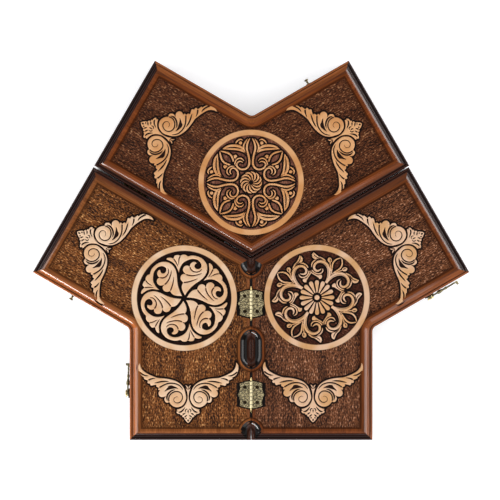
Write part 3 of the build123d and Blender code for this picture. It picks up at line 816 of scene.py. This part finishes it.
def hammered_group():
    """Ground beaten with a small round punch: dark pits, a lighter net between them, pale flecks on the net,
    fine streaks along the grain and slow bands of a warmer tone."""
    tree, given, out = group("hammered", {"Place": "v", "Dark": "c", "Middle": "c", "Fleck": "c"},
                             {"Colour": "c", "Height": "f"})
    place = given["Place"]
    pits = node(tree, "TexVoronoi", {"Vector": scaled(tree, place, pit_scale), "Scale": 1.0,
                                     "Randomness": pit_randomness})
    fine = noise(tree, place, fine_scale, detail=3.0, roughness=0.7)
    level = plus(tree, pits.outputs["Distance"], swing(tree, fine, fine_weight))
    warm = plus(tree, level, swing(tree, noise(tree, place, streak_scale, detail=2.0), streak_weight))
    warm = plus(tree, warm, swing(tree, noise(tree, place, slow_scale, detail=2.0), slow_weight))
    base = mix(tree, fade(tree, warm, *ground_fade), given["Dark"], given["Middle"])
    colour = mix(tree, fade(tree, warm, *fleck_fade), base, given["Fleck"])
    give_out(tree, out, {"Colour": colour, "Height": level})


def seam_inset(tree, x, y, hinged):
    """Inset from the seam; a hinged seam's is measured from its recesses, with their round ends."""
    past = plus(tree, calc(tree, "PINGPONG", x, hinge_pitch / 2),
                times(tree, below(tree, x, hinge_pitch / 2), corner_recess_shift))
    beyond = larger(tree, minus(tree, past, recess_half_straight), 0)
    from_turn = hypotenuse(tree, beyond, plus(tree, y, recess_turn_depth))
    spread = (border_inner_inset - moulding_width) / recess_border_width
    from_wall = minus(tree, from_turn, recess_radius)
    return mix_values(tree, hinged, y, calc(tree, "MULTIPLY_ADD", from_wall, spread, moulding_width))


def outer_inset(tree, x, y):
    """Inset from the outer edge, which turns round the notch into the other arm's."""
    across = arm_width + notch_radius
    along = across / math.tan(math.radians(bend / 2))
    before = larger(tree, minus(tree, along, x), 0)
    return minus(tree, hypotenuse(tree, before, minus(tree, across, y)), notch_radius)


def thin_shade_lines(tree, inset, away, high, in_ring, in_recess):
    """Painted shade as dark lines: inside the border at its step down to the ground, at both rims of the
    ring and in the crease behind the lip.
    """
    start, stop = (border_inner_inset - reach for reach in inner_line)
    inside_border = times(tree, times(tree, high, fade(tree, inset, start, stop)), outside(tree, in_ring))
    inner_rim = fade(tree, away, *(ring_inner_radius + reach for reach in rim_line))
    outer_rim = fade(tree, away, *(ring_outer_radius - reach for reach in rim_line))
    rims = times(tree, times(tree, high, in_ring), larger(tree, inner_rim, outer_rim))
    quirk = times(tree, fade(tree, apart(tree, inset, lip_width), *quirk_line), outside(tree, in_recess))
    return larger(tree, larger(tree, inside_border, rims), quirk)


def land_shade_lines(tree, x, y, z, hinged):
    """Painted shade as dark lines round the hinges' leaves and along the seam's gap between them."""
    from_hinge = minus(tree, hinge_pitch / 2, calc(tree, "PINGPONG", x, hinge_pitch / 2))
    past_end = calc(tree, "MULTIPLY_ADD", y, leaf_slant, minus(tree, from_hinge, leaf_half_length))
    past_leaf = larger(tree, past_end, minus(tree, y, leaf_reach))
    lines = larger(tree, fade(tree, past_leaf, *leaf_line), fade(tree, y, *seam_line))
    near_land = below(tree, apart(tree, z, ground_height), land_match)
    return times(tree, times(tree, hinged, near_land), lines)


def panel_zones_group():
    """Where a point of a carved panel lies, in its arm's frame in millimetres: on the ground, in the
    medallion, on its ring or on the border; on its highest plane at all; on an edge cut across the grain, on
    the seam's edge, low down beside the seam, or on the strip beside the hinges; and on a line of painted
    shade."""
    tree, given, out = group(
        "panel_zones", {"Place": "v", "Normal": "v", "Middle": "v", "Hinged": "f"},
        {"Ground": "f", "Medallion": "f", "Ring": "f", "Border": "f", "Top": "f", "Crosscut": "f",
         "Seam": "f", "Middle Of Seam": "f", "Strip": "f", "Line": "f"})
    hinged = given["Hinged"]
    x, y, z = node(tree, "SeparateXYZ", [given["Place"]]).outputs
    up = node(tree, "SeparateXYZ", [given["Normal"]]).outputs[2]
    high = calc(tree, "GREATER_THAN", z, border_height - border_match)
    level = below(tree, apart(tree, z, ground_height), ground_match)
    low_flat = times(tree, level, calc(tree, "GREATER_THAN", up, level_normal))
    flat_place = node(tree, "CombineXYZ", [x, y]).outputs[0]
    away = node(tree, "VectorMath", [flat_place, given["Middle"]], operation="DISTANCE").outputs["Value"]
    in_disc = below(tree, away, ring_inner_radius + disc_slack)
    in_ring = below(tree, away, ring_outer_radius + ring_slack)
    seam = seam_inset(tree, x, y, hinged)
    side = smaller(tree, seam, outer_inset(tree, x, y))
    end = minus(tree, arm_length, x)
    inset = smaller(tree, side, end)
    at_seam = below(tree, apart(tree, seam, inset), edge_match)
    in_recess = times(tree, hinged, at_seam)
    on_slope = below(tree, inset, moulding_width + slope_slack)
    upper_slope = times(tree, times(tree, fade(tree, inset, *slope_fade), on_slope), outside(tree, in_recess))
    low = below(tree, z, ground_height - seam_drop)
    thin = thin_shade_lines(tree, inset, away, high, in_ring, in_recess)
    give_out(tree, out, {
        "Ground": times(tree, low_flat, outside(tree, in_disc)),
        "Medallion": times(tree, low_flat, in_disc),
        "Ring": times(tree, high, in_ring),
        "Border": times(tree, larger(tree, high, upper_slope), outside(tree, in_ring)),
        "Top": high,
        "Crosscut": below(tree, end, side),
        "Seam": at_seam,
        "Middle Of Seam": times(tree, fade(tree, y, *seam_fade), low),
        "Strip": times(tree, times(tree, hinged, level), fade(tree, y, *strip_fade)),
        "Line": larger(tree, times(tree, thin, thin_line_share), land_shade_lines(tree, x, y, z, hinged)),
    })


def relief_group():
    """Colours of a carved sheet from its inset and its grooves: ground, painted shade as a dark contour
    beside the raised work, painted shade on its rim, and painted shade as a darker tone in the grooves."""
    tree, given, out = group(
        "relief", {"Inset": "f", "Cut": "f", "Wood": "c", "Shade": "c", "Groove": "c", "Contour": "c",
                   "Ground": "c"}, {"Colour": "c"})
    inset = given["Inset"]
    ground = mix(tree, fade(tree, inset, *contour_fade), given["Ground"], given["Contour"])
    rim = mix(tree, fade(tree, inset, *shade_fade), given["Shade"], given["Wood"])
    raised = fade(tree, inset, *raised_fade)
    in_groove = times(tree, fade(tree, given["Cut"], *groove_fade), raised)
    give_out(tree, out, {"Colour": mix(tree, in_groove, mix(tree, raised, ground, rim), given["Groove"])})


def along_hinge(tree, y):
    """Distance along the seam from the middle of the nearest hinge."""
    return calc(tree, "PINGPONG", plus(tree, y, hinge_pitch / 2 - meeting_point[1]), hinge_pitch / 2)


def chasing_group():
    """Scrolls chased into a hinge leaf: rings whose middles are given off the pin's axis and along it."""
    tree, given, out = group("chasing", {"Place": "v"}, {"Line": "f"})
    x, y, _ = node(tree, "SeparateXYZ", [given["Place"]]).outputs
    point = node(tree, "CombineXYZ", [calc(tree, "ABSOLUTE", x), along_hinge(tree, y)]).outputs[0]
    nearest = far
    for middle_off, middle_along, radius in leaf_scrolls:
        away = node(tree, "VectorMath", [point, (middle_off, middle_along, 0)], operation="DISTANCE")
        nearest = smaller(tree, nearest, apart(tree, away.outputs["Value"], radius))
    waver = swing(tree, noise(tree, given["Place"], chasing_scale, detail=3.0), chasing_wave)
    give_out(tree, out, {"Line": fade(tree, plus(tree, nearest, waver), *chasing_line)})


grain_group()
hammered_group()
panel_zones_group()
relief_group()
chasing_group()


# Wood tones of the three trays, as screen colours. 'shade' is painted shade on the relief's rim and also the
# grain's dark; 'groove' is painted shade in a medallion's grooves, and 'contour' painted shade round the
# raised work
tones = {
    "left": {"wood": "e2c1a1", "vein": "d8ac82", "shade": "7a4a2c", "groove": "4a2818", "contour": "0c0502",
             "disc_pit": "160402", "disc": "220c06", "disc_fleck": "3c1e12", "dark": "1c0c04",
             "middle": "874f25", "fleck": "e5ac6d", "border": "965a30", "border_dark": "4c250e",
             "side": "b8662e", "side_dark": "6a3818"},
    "right": {"wood": "d9b394", "vein": "cb9a68", "shade": "68402a", "groove": "2c160e", "contour": "0e0604",
              "disc_pit": "2c120a", "disc": "4c2618", "disc_fleck": "8a5c48", "dark": "1d0e08",
              "middle": "78472b", "fleck": "d09c7a", "border": "7e421f", "border_dark": "3e2011",
              "side": "a05a30", "side_dark": "542e1a"},
    "top": {"wood": "d6a272", "vein": "c88d58", "shade": "683a1e", "groove": "2c150a", "contour": "120805",
            "disc_pit": "553028", "disc": "84543e", "disc_fleck": "aa7c60", "dark": "1c0c05",
            "middle": "66381f", "fleck": "b4855d", "border": "884620", "border_dark": "3a1c0b",
            "side": "b0642e", "side_dark": "5a2e16"},
}

# Stain and painted shade that the trays share: stain on wood cut across the grain; painted shade in a wing's
# grooves and on the dark lines; and on a seam's edge, low down beside the seam and further up, dark stain
# with painted shade where it is hinged, and painted shade where it is plain
crosscut_stain = "26100a"
wing_groove_shade = "221008"
painted_shade_line_colour = "0d0604"
hinged_seam_stain_and_shade = ("3c1c0e", "090402")
plain_seam_shade = ("30150b", "6a3a22")

# Woods of the rails, the field and its points, and the metals: a dark and a light colour of each, with the
# roughness of a metal
rail_wood = ("241009", "4a2412")
field_wood = ("6a3c1e", "9a6236")
dark_point_wood = ("1e0f09", "3a1e12")
light_point_wood = ("b98a55", "e0bd8a")
metals = {
    "antique_brass": ("5b5138", "a39a76", 0.3),
    "pale_brass": ("a58c56", "e0cd9a", 0.22),
    "dull_bronze": ("120e0a", "2e261a", 0.4),
    "pin_brass": ("4a4030", "b0a074", 0.3),
    "dark_bronze": ("1c150d", "3c3020", 0.4),
}
leaf_dark = "7c7050"
leaf_light = "cab98a"
leaf_barrel = "d9cda4"
leaf_line_colour = "1c160e"


def new_material(name):
    """Material with a Principled shader; returns it, its tree and the shader."""
    made = bpy.data.materials.new(name)
    made.use_nodes = True
    return made, made.node_tree, made.node_tree.nodes["Principled BSDF"]


def place_in_mm(tree, angle=0.0, corner=(0.0, 0.0), side=1.0):
    """Object coordinates in millimetres from a corner, with X along the angle and Y to the side given."""
    turn = -side * angle
    moved = corner[0] * unit(turn) + side * corner[1] * unit(turn + 90)
    return node(tree, "Mapping", {
        "Vector": node(tree, "TexCoord").outputs["Object"],
        "Location": (-moved[0], -moved[1], 0),
        "Rotation": (0, 0, math.radians(turn)),
        "Scale": (1000, 1000 * side, 1000),
    }).outputs[0]


def arm_place(tree, board, arm):
    """Millimetres along an arm, across it from its seam edge, and up."""
    return place_in_mm(tree, arm_angles[board, arm], corners[board], side_of(board, arm))


def finish_surface(tree, shader, colour, height, distance, strength, **others):
    """Links colour and bump to the shader, and links or sets its other inputs."""
    bump = node(tree, "Bump", {"Strength": strength, "Distance": distance, "Height": height})
    put(tree, shader.inputs["Base Color"], colour)
    put(tree, shader.inputs["Normal"], bump.outputs[0])
    for key, value in others.items():
        name = key.replace("_", " ").title().replace("Ior", "IOR")
        put(tree, shader.inputs[name], value)


def grained(tree, place, dark, light):
    """Colour and height of wood grain between two screen colours."""
    grain = use(tree, "grain", {"Place": place, "Dark": paint(dark), "Light": paint(light)})
    return grain["Colour"], grain["Height"]


def beaten(tree, place, dark, middle, fleck):
    """Colour and height of a beaten ground in three screen colours."""
    ground = use(tree, "hammered", {"Place": place, "Dark": paint(dark), "Middle": paint(middle),
                                    "Fleck": paint(fleck)})
    return ground["Colour"], ground["Height"]


def pale_wood(tree, place, tone):
    """The wood of the relief: its grain, with slow changes to a warmer tone. Returns the colour and the
    grain's height."""
    grain, height = grained(tree, place, tone["shade"], tone["wood"])
    warmth = fade(tree, noise(tree, place, warmth_scale, detail=1.0), *warmth_fade)
    even = mix(tree, warmth, paint(tone["vein"]), paint(tone["wood"]))
    return mix(tree, grain_in_pale_wood, even, grain), height


def panel_material(board, arm):
    """Carved panel of one arm: glossy routed edge, near black where it is cut across the grain, painted shade
    on the seam's edge, border, beaten ground, the medallion's ring and lines of painted shade."""
    tone = tones[board]
    made, tree, shader = new_material(f"{board}_{arm}_panel")
    place = arm_place(tree, board, arm)
    hinged = arm == "lower"
    zones = use(tree, "panel_zones", {
        "Place": place,
        "Normal": node(tree, "TexCoord").outputs["Normal"],
        "Middle": (*row_to_arm(medallion_middle(board), board, arm), 0),
        "Hinged": float(hinged),
    })
    side, _ = grained(tree, place, tone["side_dark"], tone["side"])
    border, _ = grained(tree, place, tone["border_dark"], tone["border"])
    ring, _ = pale_wood(tree, place, tone)
    ground, beaten_height = beaten(tree, place, tone["dark"], tone["middle"], tone["fleck"])
    # The seam's edge is painted darker as shade in the narrow gap between trays, a plain seam's most of all
    # low down; a hinged seam's near black is partly dark stain.
    low_stain_and_shade, high_stain_and_shade = hinged_seam_stain_and_shade if hinged else plain_seam_shade
    seam = mix(tree, zones["Middle Of Seam"], paint(high_stain_and_shade), paint(low_stain_and_shade))
    colour = side
    for zone, its_colour in (
        ("Crosscut", paint(crosscut_stain)),
        ("Seam", seam),
        ("Border", border),
        ("Ring", ring),
        ("Medallion", paint(tone["disc"])),
        ("Ground", ground),
        ("Strip", border),
        # painted shade: the dark lines at steps, in creases, round the leaves and in the seam's gap
        ("Line", paint(painted_shade_line_colour)),
    ):
        colour = mix(tree, zones[zone], colour, its_colour)
    carved_zone = larger(tree, zones["Ground"], zones["Medallion"])
    plain_zone = larger(tree, larger(tree, carved_zone, zones["Top"]), zones["Line"])
    coat = minus(tree, edge_coat, times(tree, zones["Seam"], edge_coat - seam_coat))
    coat = times(tree, outside(tree, plain_zone), coat)
    rough = plus(tree, border_roughness, times(tree, carved_zone, carved_roughness - border_roughness))
    finish_surface(tree, shader, colour, times(tree, beaten_height, zones["Ground"]), distance=0.0006,
                   strength=1.0, roughness=rough, specular_ior_level=0.08, coat_weight=coat,
                   coat_roughness=0.08)
    return made


def carving_material(name, board, arm=None):
    """Pale raised wood over a dark ground, by the sheet's inset and cut. Round a wing the ground goes on as
    the panel's own beaten ground. The dark contour round the raised work, its shaded rim and its grooves are
    painted shade."""
    tone = tones[board]
    made, tree, shader = new_material(name)
    if arm:
        place = arm_place(tree, board, arm)
        ground, _ = beaten(tree, place, tone["dark"], tone["middle"], tone["fleck"])
        # painted shade in the wing's grooves
        groove_colour = paint(wing_groove_shade)
    else:
        place = place_in_mm(tree, bisectors[board])
        ground, _ = beaten(tree, place, tone["disc_pit"], tone["disc"], tone["disc_fleck"])
        # painted shade in the medallion's grooves
        groove_colour = paint(tone["groove"])
    wood, fibres = pale_wood(tree, place, tone)
    relief = use(tree, "relief", {
        "Inset": node(tree, "Attribute", attribute_name="inset").outputs["Fac"],
        "Cut": node(tree, "Attribute", attribute_name="cut").outputs["Fac"],
        "Wood": wood,
        "Shade": paint(tone["shade"]),
        "Groove": groove_colour,
        "Contour": paint(tone["contour"]),
        "Ground": ground,
    })
    finish_surface(tree, shader, relief["Colour"], fibres, distance=0.0001, strength=0.4, roughness=0.45,
                   specular_ior_level=0.1)
    return made


def wood_material(name, angle, colours):
    """Plain varnished wood with its grain along the angle."""
    made, tree, shader = new_material(name)
    colour, height = grained(tree, place_in_mm(tree, angle), *colours)
    finish_surface(tree, shader, colour, height, distance=0.0002, strength=0.35, roughness=0.35)
    return made


def metal_material(name):
    """Cast brass or bronze, darker and rougher in patches."""
    dark, light, roughness = metals[name]
    made, tree, shader = new_material(name)
    patches = noise(tree, place_in_mm(tree), patch_scale, detail=4.0, roughness=0.6)
    colour = mix(tree, fade(tree, patches, *patch_fade), paint(dark), paint(light))
    rough = plus(tree, roughness, times(tree, patches, patch_roughness))
    finish_surface(tree, shader, colour, patches, distance=0.0003, strength=0.5, roughness=rough,
                   metallic=1.0)
    return made


def leaf_material():
    """Shaped hinge leaf: chased brass with dark lines, and a paler barrel where it stands over the border."""
    made, tree, shader = new_material("chased_brass")
    place = place_in_mm(tree)
    _, y, z = node(tree, "SeparateXYZ", [place]).outputs
    barrel = fade(tree, minus(tree, z, border_height), *barrel_fade)
    bead = leaf_half_length / knuckles
    on_bead = calc(tree, "PINGPONG", along_hinge(tree, y), bead)
    joint = fade(tree, on_bead, *(share * bead for share in joint_fade))
    line = mix_values(tree, barrel, use(tree, "chasing", {"Place": place})["Line"], joint)
    patches = noise(tree, place, plate_scale, detail=3.0, roughness=0.6)
    plate = mix(tree, fade(tree, patches, *plate_fade), paint(leaf_dark), paint(leaf_light))
    colour = mix(tree, line, mix(tree, barrel, plate, paint(leaf_barrel)), paint(leaf_line_colour))
    finish_surface(tree, shader, colour, outside(tree, line), distance=0.0005, strength=0.8, roughness=0.38,
                   metallic=0.5)
    return made


materials = {}
for board in bisectors:
    name = board + "_medallion"
    materials[name] = carving_material(name, board)
for board, arm in arm_angles:
    name = f"{board}_{arm}_wing"
    materials[name] = carving_material(name, board, arm)


def dress(node_name, material):
    """Gives a CAD node its material."""
    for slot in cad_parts[node_name].material_slots:
        slot.material = material


# CAD nodes
for (board, arm), angle in arm_angles.items():
    dress(f"{board}_panel_{arm}", panel_material(board, arm))
    along = wood_material(f"{board}_{arm}_rail_along", angle, rail_wood)
    dress(f"{board}_seam_rail_{arm}", along)
    dress(f"{board}_outer_rail_{arm}", along)
    dress(f"{board}_end_rail_{arm}", wood_material(f"{board}_{arm}_rail_across", angle + 90, rail_wood))
for board, angle in bisectors.items():
    dress(board + "_playing_field", wood_material(board + "_field", angle, field_wood))
    dress(board + "_dark_points", wood_material(board + "_dark_point", angle, dark_point_wood))
    dress(board + "_light_points", wood_material(board + "_light_point", angle, light_point_wood))


def metal_of(name):
    """Which metal a hinge's, hook's or catch's piece is made of."""
    if name.startswith("carved_hinge") and name.endswith("_leaf"):
        return "chased_brass"
    if name.startswith("carved_hinge") and name.endswith("_screws"):
        return "dark_bronze"
    if name.endswith("catch_pin"):
        return "pin_brass"
    if "plate" in name:
        return "dull_bronze"
    if name.endswith(("_pin", "_screw")):
        return "pale_brass"
    return "antique_brass"


metal_materials = {name: metal_material(name) for name in metals}
metal_materials["chased_brass"] = leaf_material()
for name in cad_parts:
    if "hinge" in name or "hook" in name or "catch" in name:
        dress(name, metal_materials[metal_of(name)])


def medallion_place(board):
    """From a medallion's own frame to the table."""
    return lambda points: medallion_middle(board) + turned(points, medallion_turns[board])


def wing_place(board, arm):
    """From a wing's own frame to the table: its fan points to the arm's end."""
    along, across, turn = wing_places[board, arm]

    def place(points):
        points = turned(points, turn)
        on_arm = np.stack([along + points[:, 1], across + points[:, 0]], 1)
        return arm_to_row(on_arm, board, arm)
    return place


def carve_medallion(board, shapes, grooves, edge, dome):
    """Puts a medallion's relief down inside its ring."""
    carved(board + "_medallion", shapes, grooves, board, medallion_place(board), edge, dome,
           disc=ring_inner_radius - disc_clearance)


def left_medallion():
    """Six swirling leaves."""
    turns = range(0, 360, 60)
    leaves = [turned(outline(swirl_leaf), turn) for turn in turns]
    grooves = [turned(groove(points), turn) for turn in turns for points in swirl_grooves]
    carve_medallion("left", leaves, grooves, edge=0.7, dome=0.1)


def eightfold(strokes, leaves, grooves, spread):
    """Shapes and grooves of an eighth, mirrored and turned to all eight places."""
    shapes, cuts = [], []
    for flip in (np.asarray, mirrored):
        for turn in range(0, 360, 90):
            shapes += [turned(flip(wider(points, spread)), turn) for points in strokes]
            shapes += [turned(flip(outline(runs)), turn) for runs in leaves]
            cuts += [turned(flip(groove(points)), turn) for points in grooves]
    return shapes, cuts


def right_medallion():
    """A daisy inside four stems with scrolls."""
    shapes, cuts = eightfold(scroll_strokes, scroll_leaves, scroll_grooves, stroke_spread["right"])
    shapes += [turned(outline(daisy_petal), 360 / petals * k + daisy_turn) for k in range(petals)]
    shapes.append(circle(button_radius, np.arange(button_sides) * 360 / button_sides))
    carve_medallion("right", shapes, cuts, edge=1.0, dome=0.15)


def top_medallion():
    """A small swirl inside eight scrolls."""
    shapes, cuts = eightfold(pair_strokes, pair_leaves, pair_grooves, stroke_spread["top"])
    shapes += [turned(stroke(swirl_petal), 360 / swirl_petals * k + swirl_turn) for k in range(swirl_petals)]
    carve_medallion("top", shapes, cuts, edge=1.0, dome=0.15)


def wing_pair(board, arm):
    """Spread wings on both sides of a fan."""
    half_fan = outline(fan)
    whole_fan = np.vstack([half_fan, [fan[-1][-1]], mirrored(half_fan)[1:][::-1]])
    shapes = [outline(wing), mirrored(outline(wing)), whole_fan, stroke(tip), mirrored(stroke(tip))]
    halves = [groove(points) for points in wing_grooves + fan_grooves]
    cuts = halves + [mirrored(points) for points in halves]
    cuts += [groove(points) for points in fan_middle_grooves]
    carved(f"{board}_{arm}_wing", shapes, cuts, board, wing_place(board, arm), edge=0.7, dome=0.1)


left_medallion()
right_medallion()
top_medallion()
for board, arm in arm_angles:
    wing_pair(board, arm)


# Table, light and camera


def table():
    """Pale table top. Seen directly it is lifted to white, except in the gaps between the trays; the
    object's shadow stays."""
    made, tree, shader = new_material("table_top")
    put(tree, shader.inputs["Base Color"], table_colour)
    put(tree, shader.inputs["Roughness"], table_roughness)
    seen = node(tree, "LightPath").outputs["Is Camera Ray"]
    open_sky = node(tree, "AmbientOcclusion", {"Distance": gap_reach}).outputs["AO"]
    lift = times(tree, seen, times(tree, fade(tree, open_sky, *open_fade), white_lift))
    glow = node(tree, "Emission", {"Strength": lift})
    both = node(tree, "AddShader", [shader.outputs[0], glow.outputs[0]])
    tree.links.new(both.outputs[0], tree.nodes["Material Output"].inputs[0])
    mesh = bpy.data.meshes.new("table_top")
    reach = table_reach
    mesh.from_pydata([(-reach, -reach, 0), (reach, -reach, 0), (reach, reach, 0), (-reach, reach, 0)], [],
                     [(0, 1, 2, 3)])
    mesh.materials.append(made)
    top = bpy.data.objects.new("table_top", mesh)
    bpy.context.scene.collection.objects.link(top)


def softbox(name, azimuth, lowest, highest, width, brightness):
    """Area lamp that looks at the middle of the board, between two elevations."""
    elevation = (lowest + highest) / 2
    height = 2 * lamp_distance * math.tan(math.radians(highest - lowest) / 2)
    lamp = bpy.data.lights.new(name, "AREA")
    lamp.shape = "RECTANGLE"
    lamp.size = width
    lamp.size_y = height
    lamp.energy = brightness * math.pi * width * height
    made = bpy.data.objects.new(name, lamp)
    flat = unit(azimuth) * math.cos(math.radians(elevation)) * lamp_distance
    made.location = (flat[0], flat[1], math.sin(math.radians(elevation)) * lamp_distance)
    made.rotation_euler = (math.radians(90 - elevation), 0, math.radians(azimuth + 90))
    bpy.context.scene.collection.objects.link(made)


def surroundings():
    """Grey room, bright high up and dark straight overhead, where the camera is; white where the camera looks
    past the table."""
    world = bpy.data.worlds.new("room")
    bpy.context.scene.world = world
    world.use_nodes = True
    tree = world.node_tree
    tree.nodes.clear()
    height = node(tree, "SeparateXYZ", [node(tree, "TexCoord").outputs["Generated"]]).outputs[2]
    bright = times(tree, fade(tree, height, *brightening), fade(tree, height, *darkening))
    level = plus(tree, room_dark, times(tree, bright, room_bright - room_dark))
    room = node(tree, "Background", {"Color": room_tint, "Strength": level})
    white = node(tree, "Background", {"Color": (1, 1, 1, 1), "Strength": 1.0})
    seen = node(tree, "LightPath").outputs["Is Camera Ray"]
    both = node(tree, "MixShader", [seen, room.outputs[0], white.outputs[0]])
    output = tree.nodes.new("ShaderNodeOutputWorld")
    tree.links.new(both.outputs[0], output.inputs[0])


def camera():
    """Straight above, upright as the photograph."""
    made = bpy.data.cameras.new("camera")
    made.sensor_width = sensor_width
    made.lens = sensor_width * (camera_height * 1000 - border_height) / view_width
    made.clip_end = camera_reach
    holder = bpy.data.objects.new("camera", made)
    holder.location = (view_centre[0] / 1000, view_centre[1] / 1000, camera_height)
    bpy.context.scene.collection.objects.link(holder)
    bpy.context.scene.camera = holder


table()
surroundings()
for name, values in lamps.items():
    softbox(name, *values)
camera()
bpy.context.scene.view_settings.view_transform = "Standard"
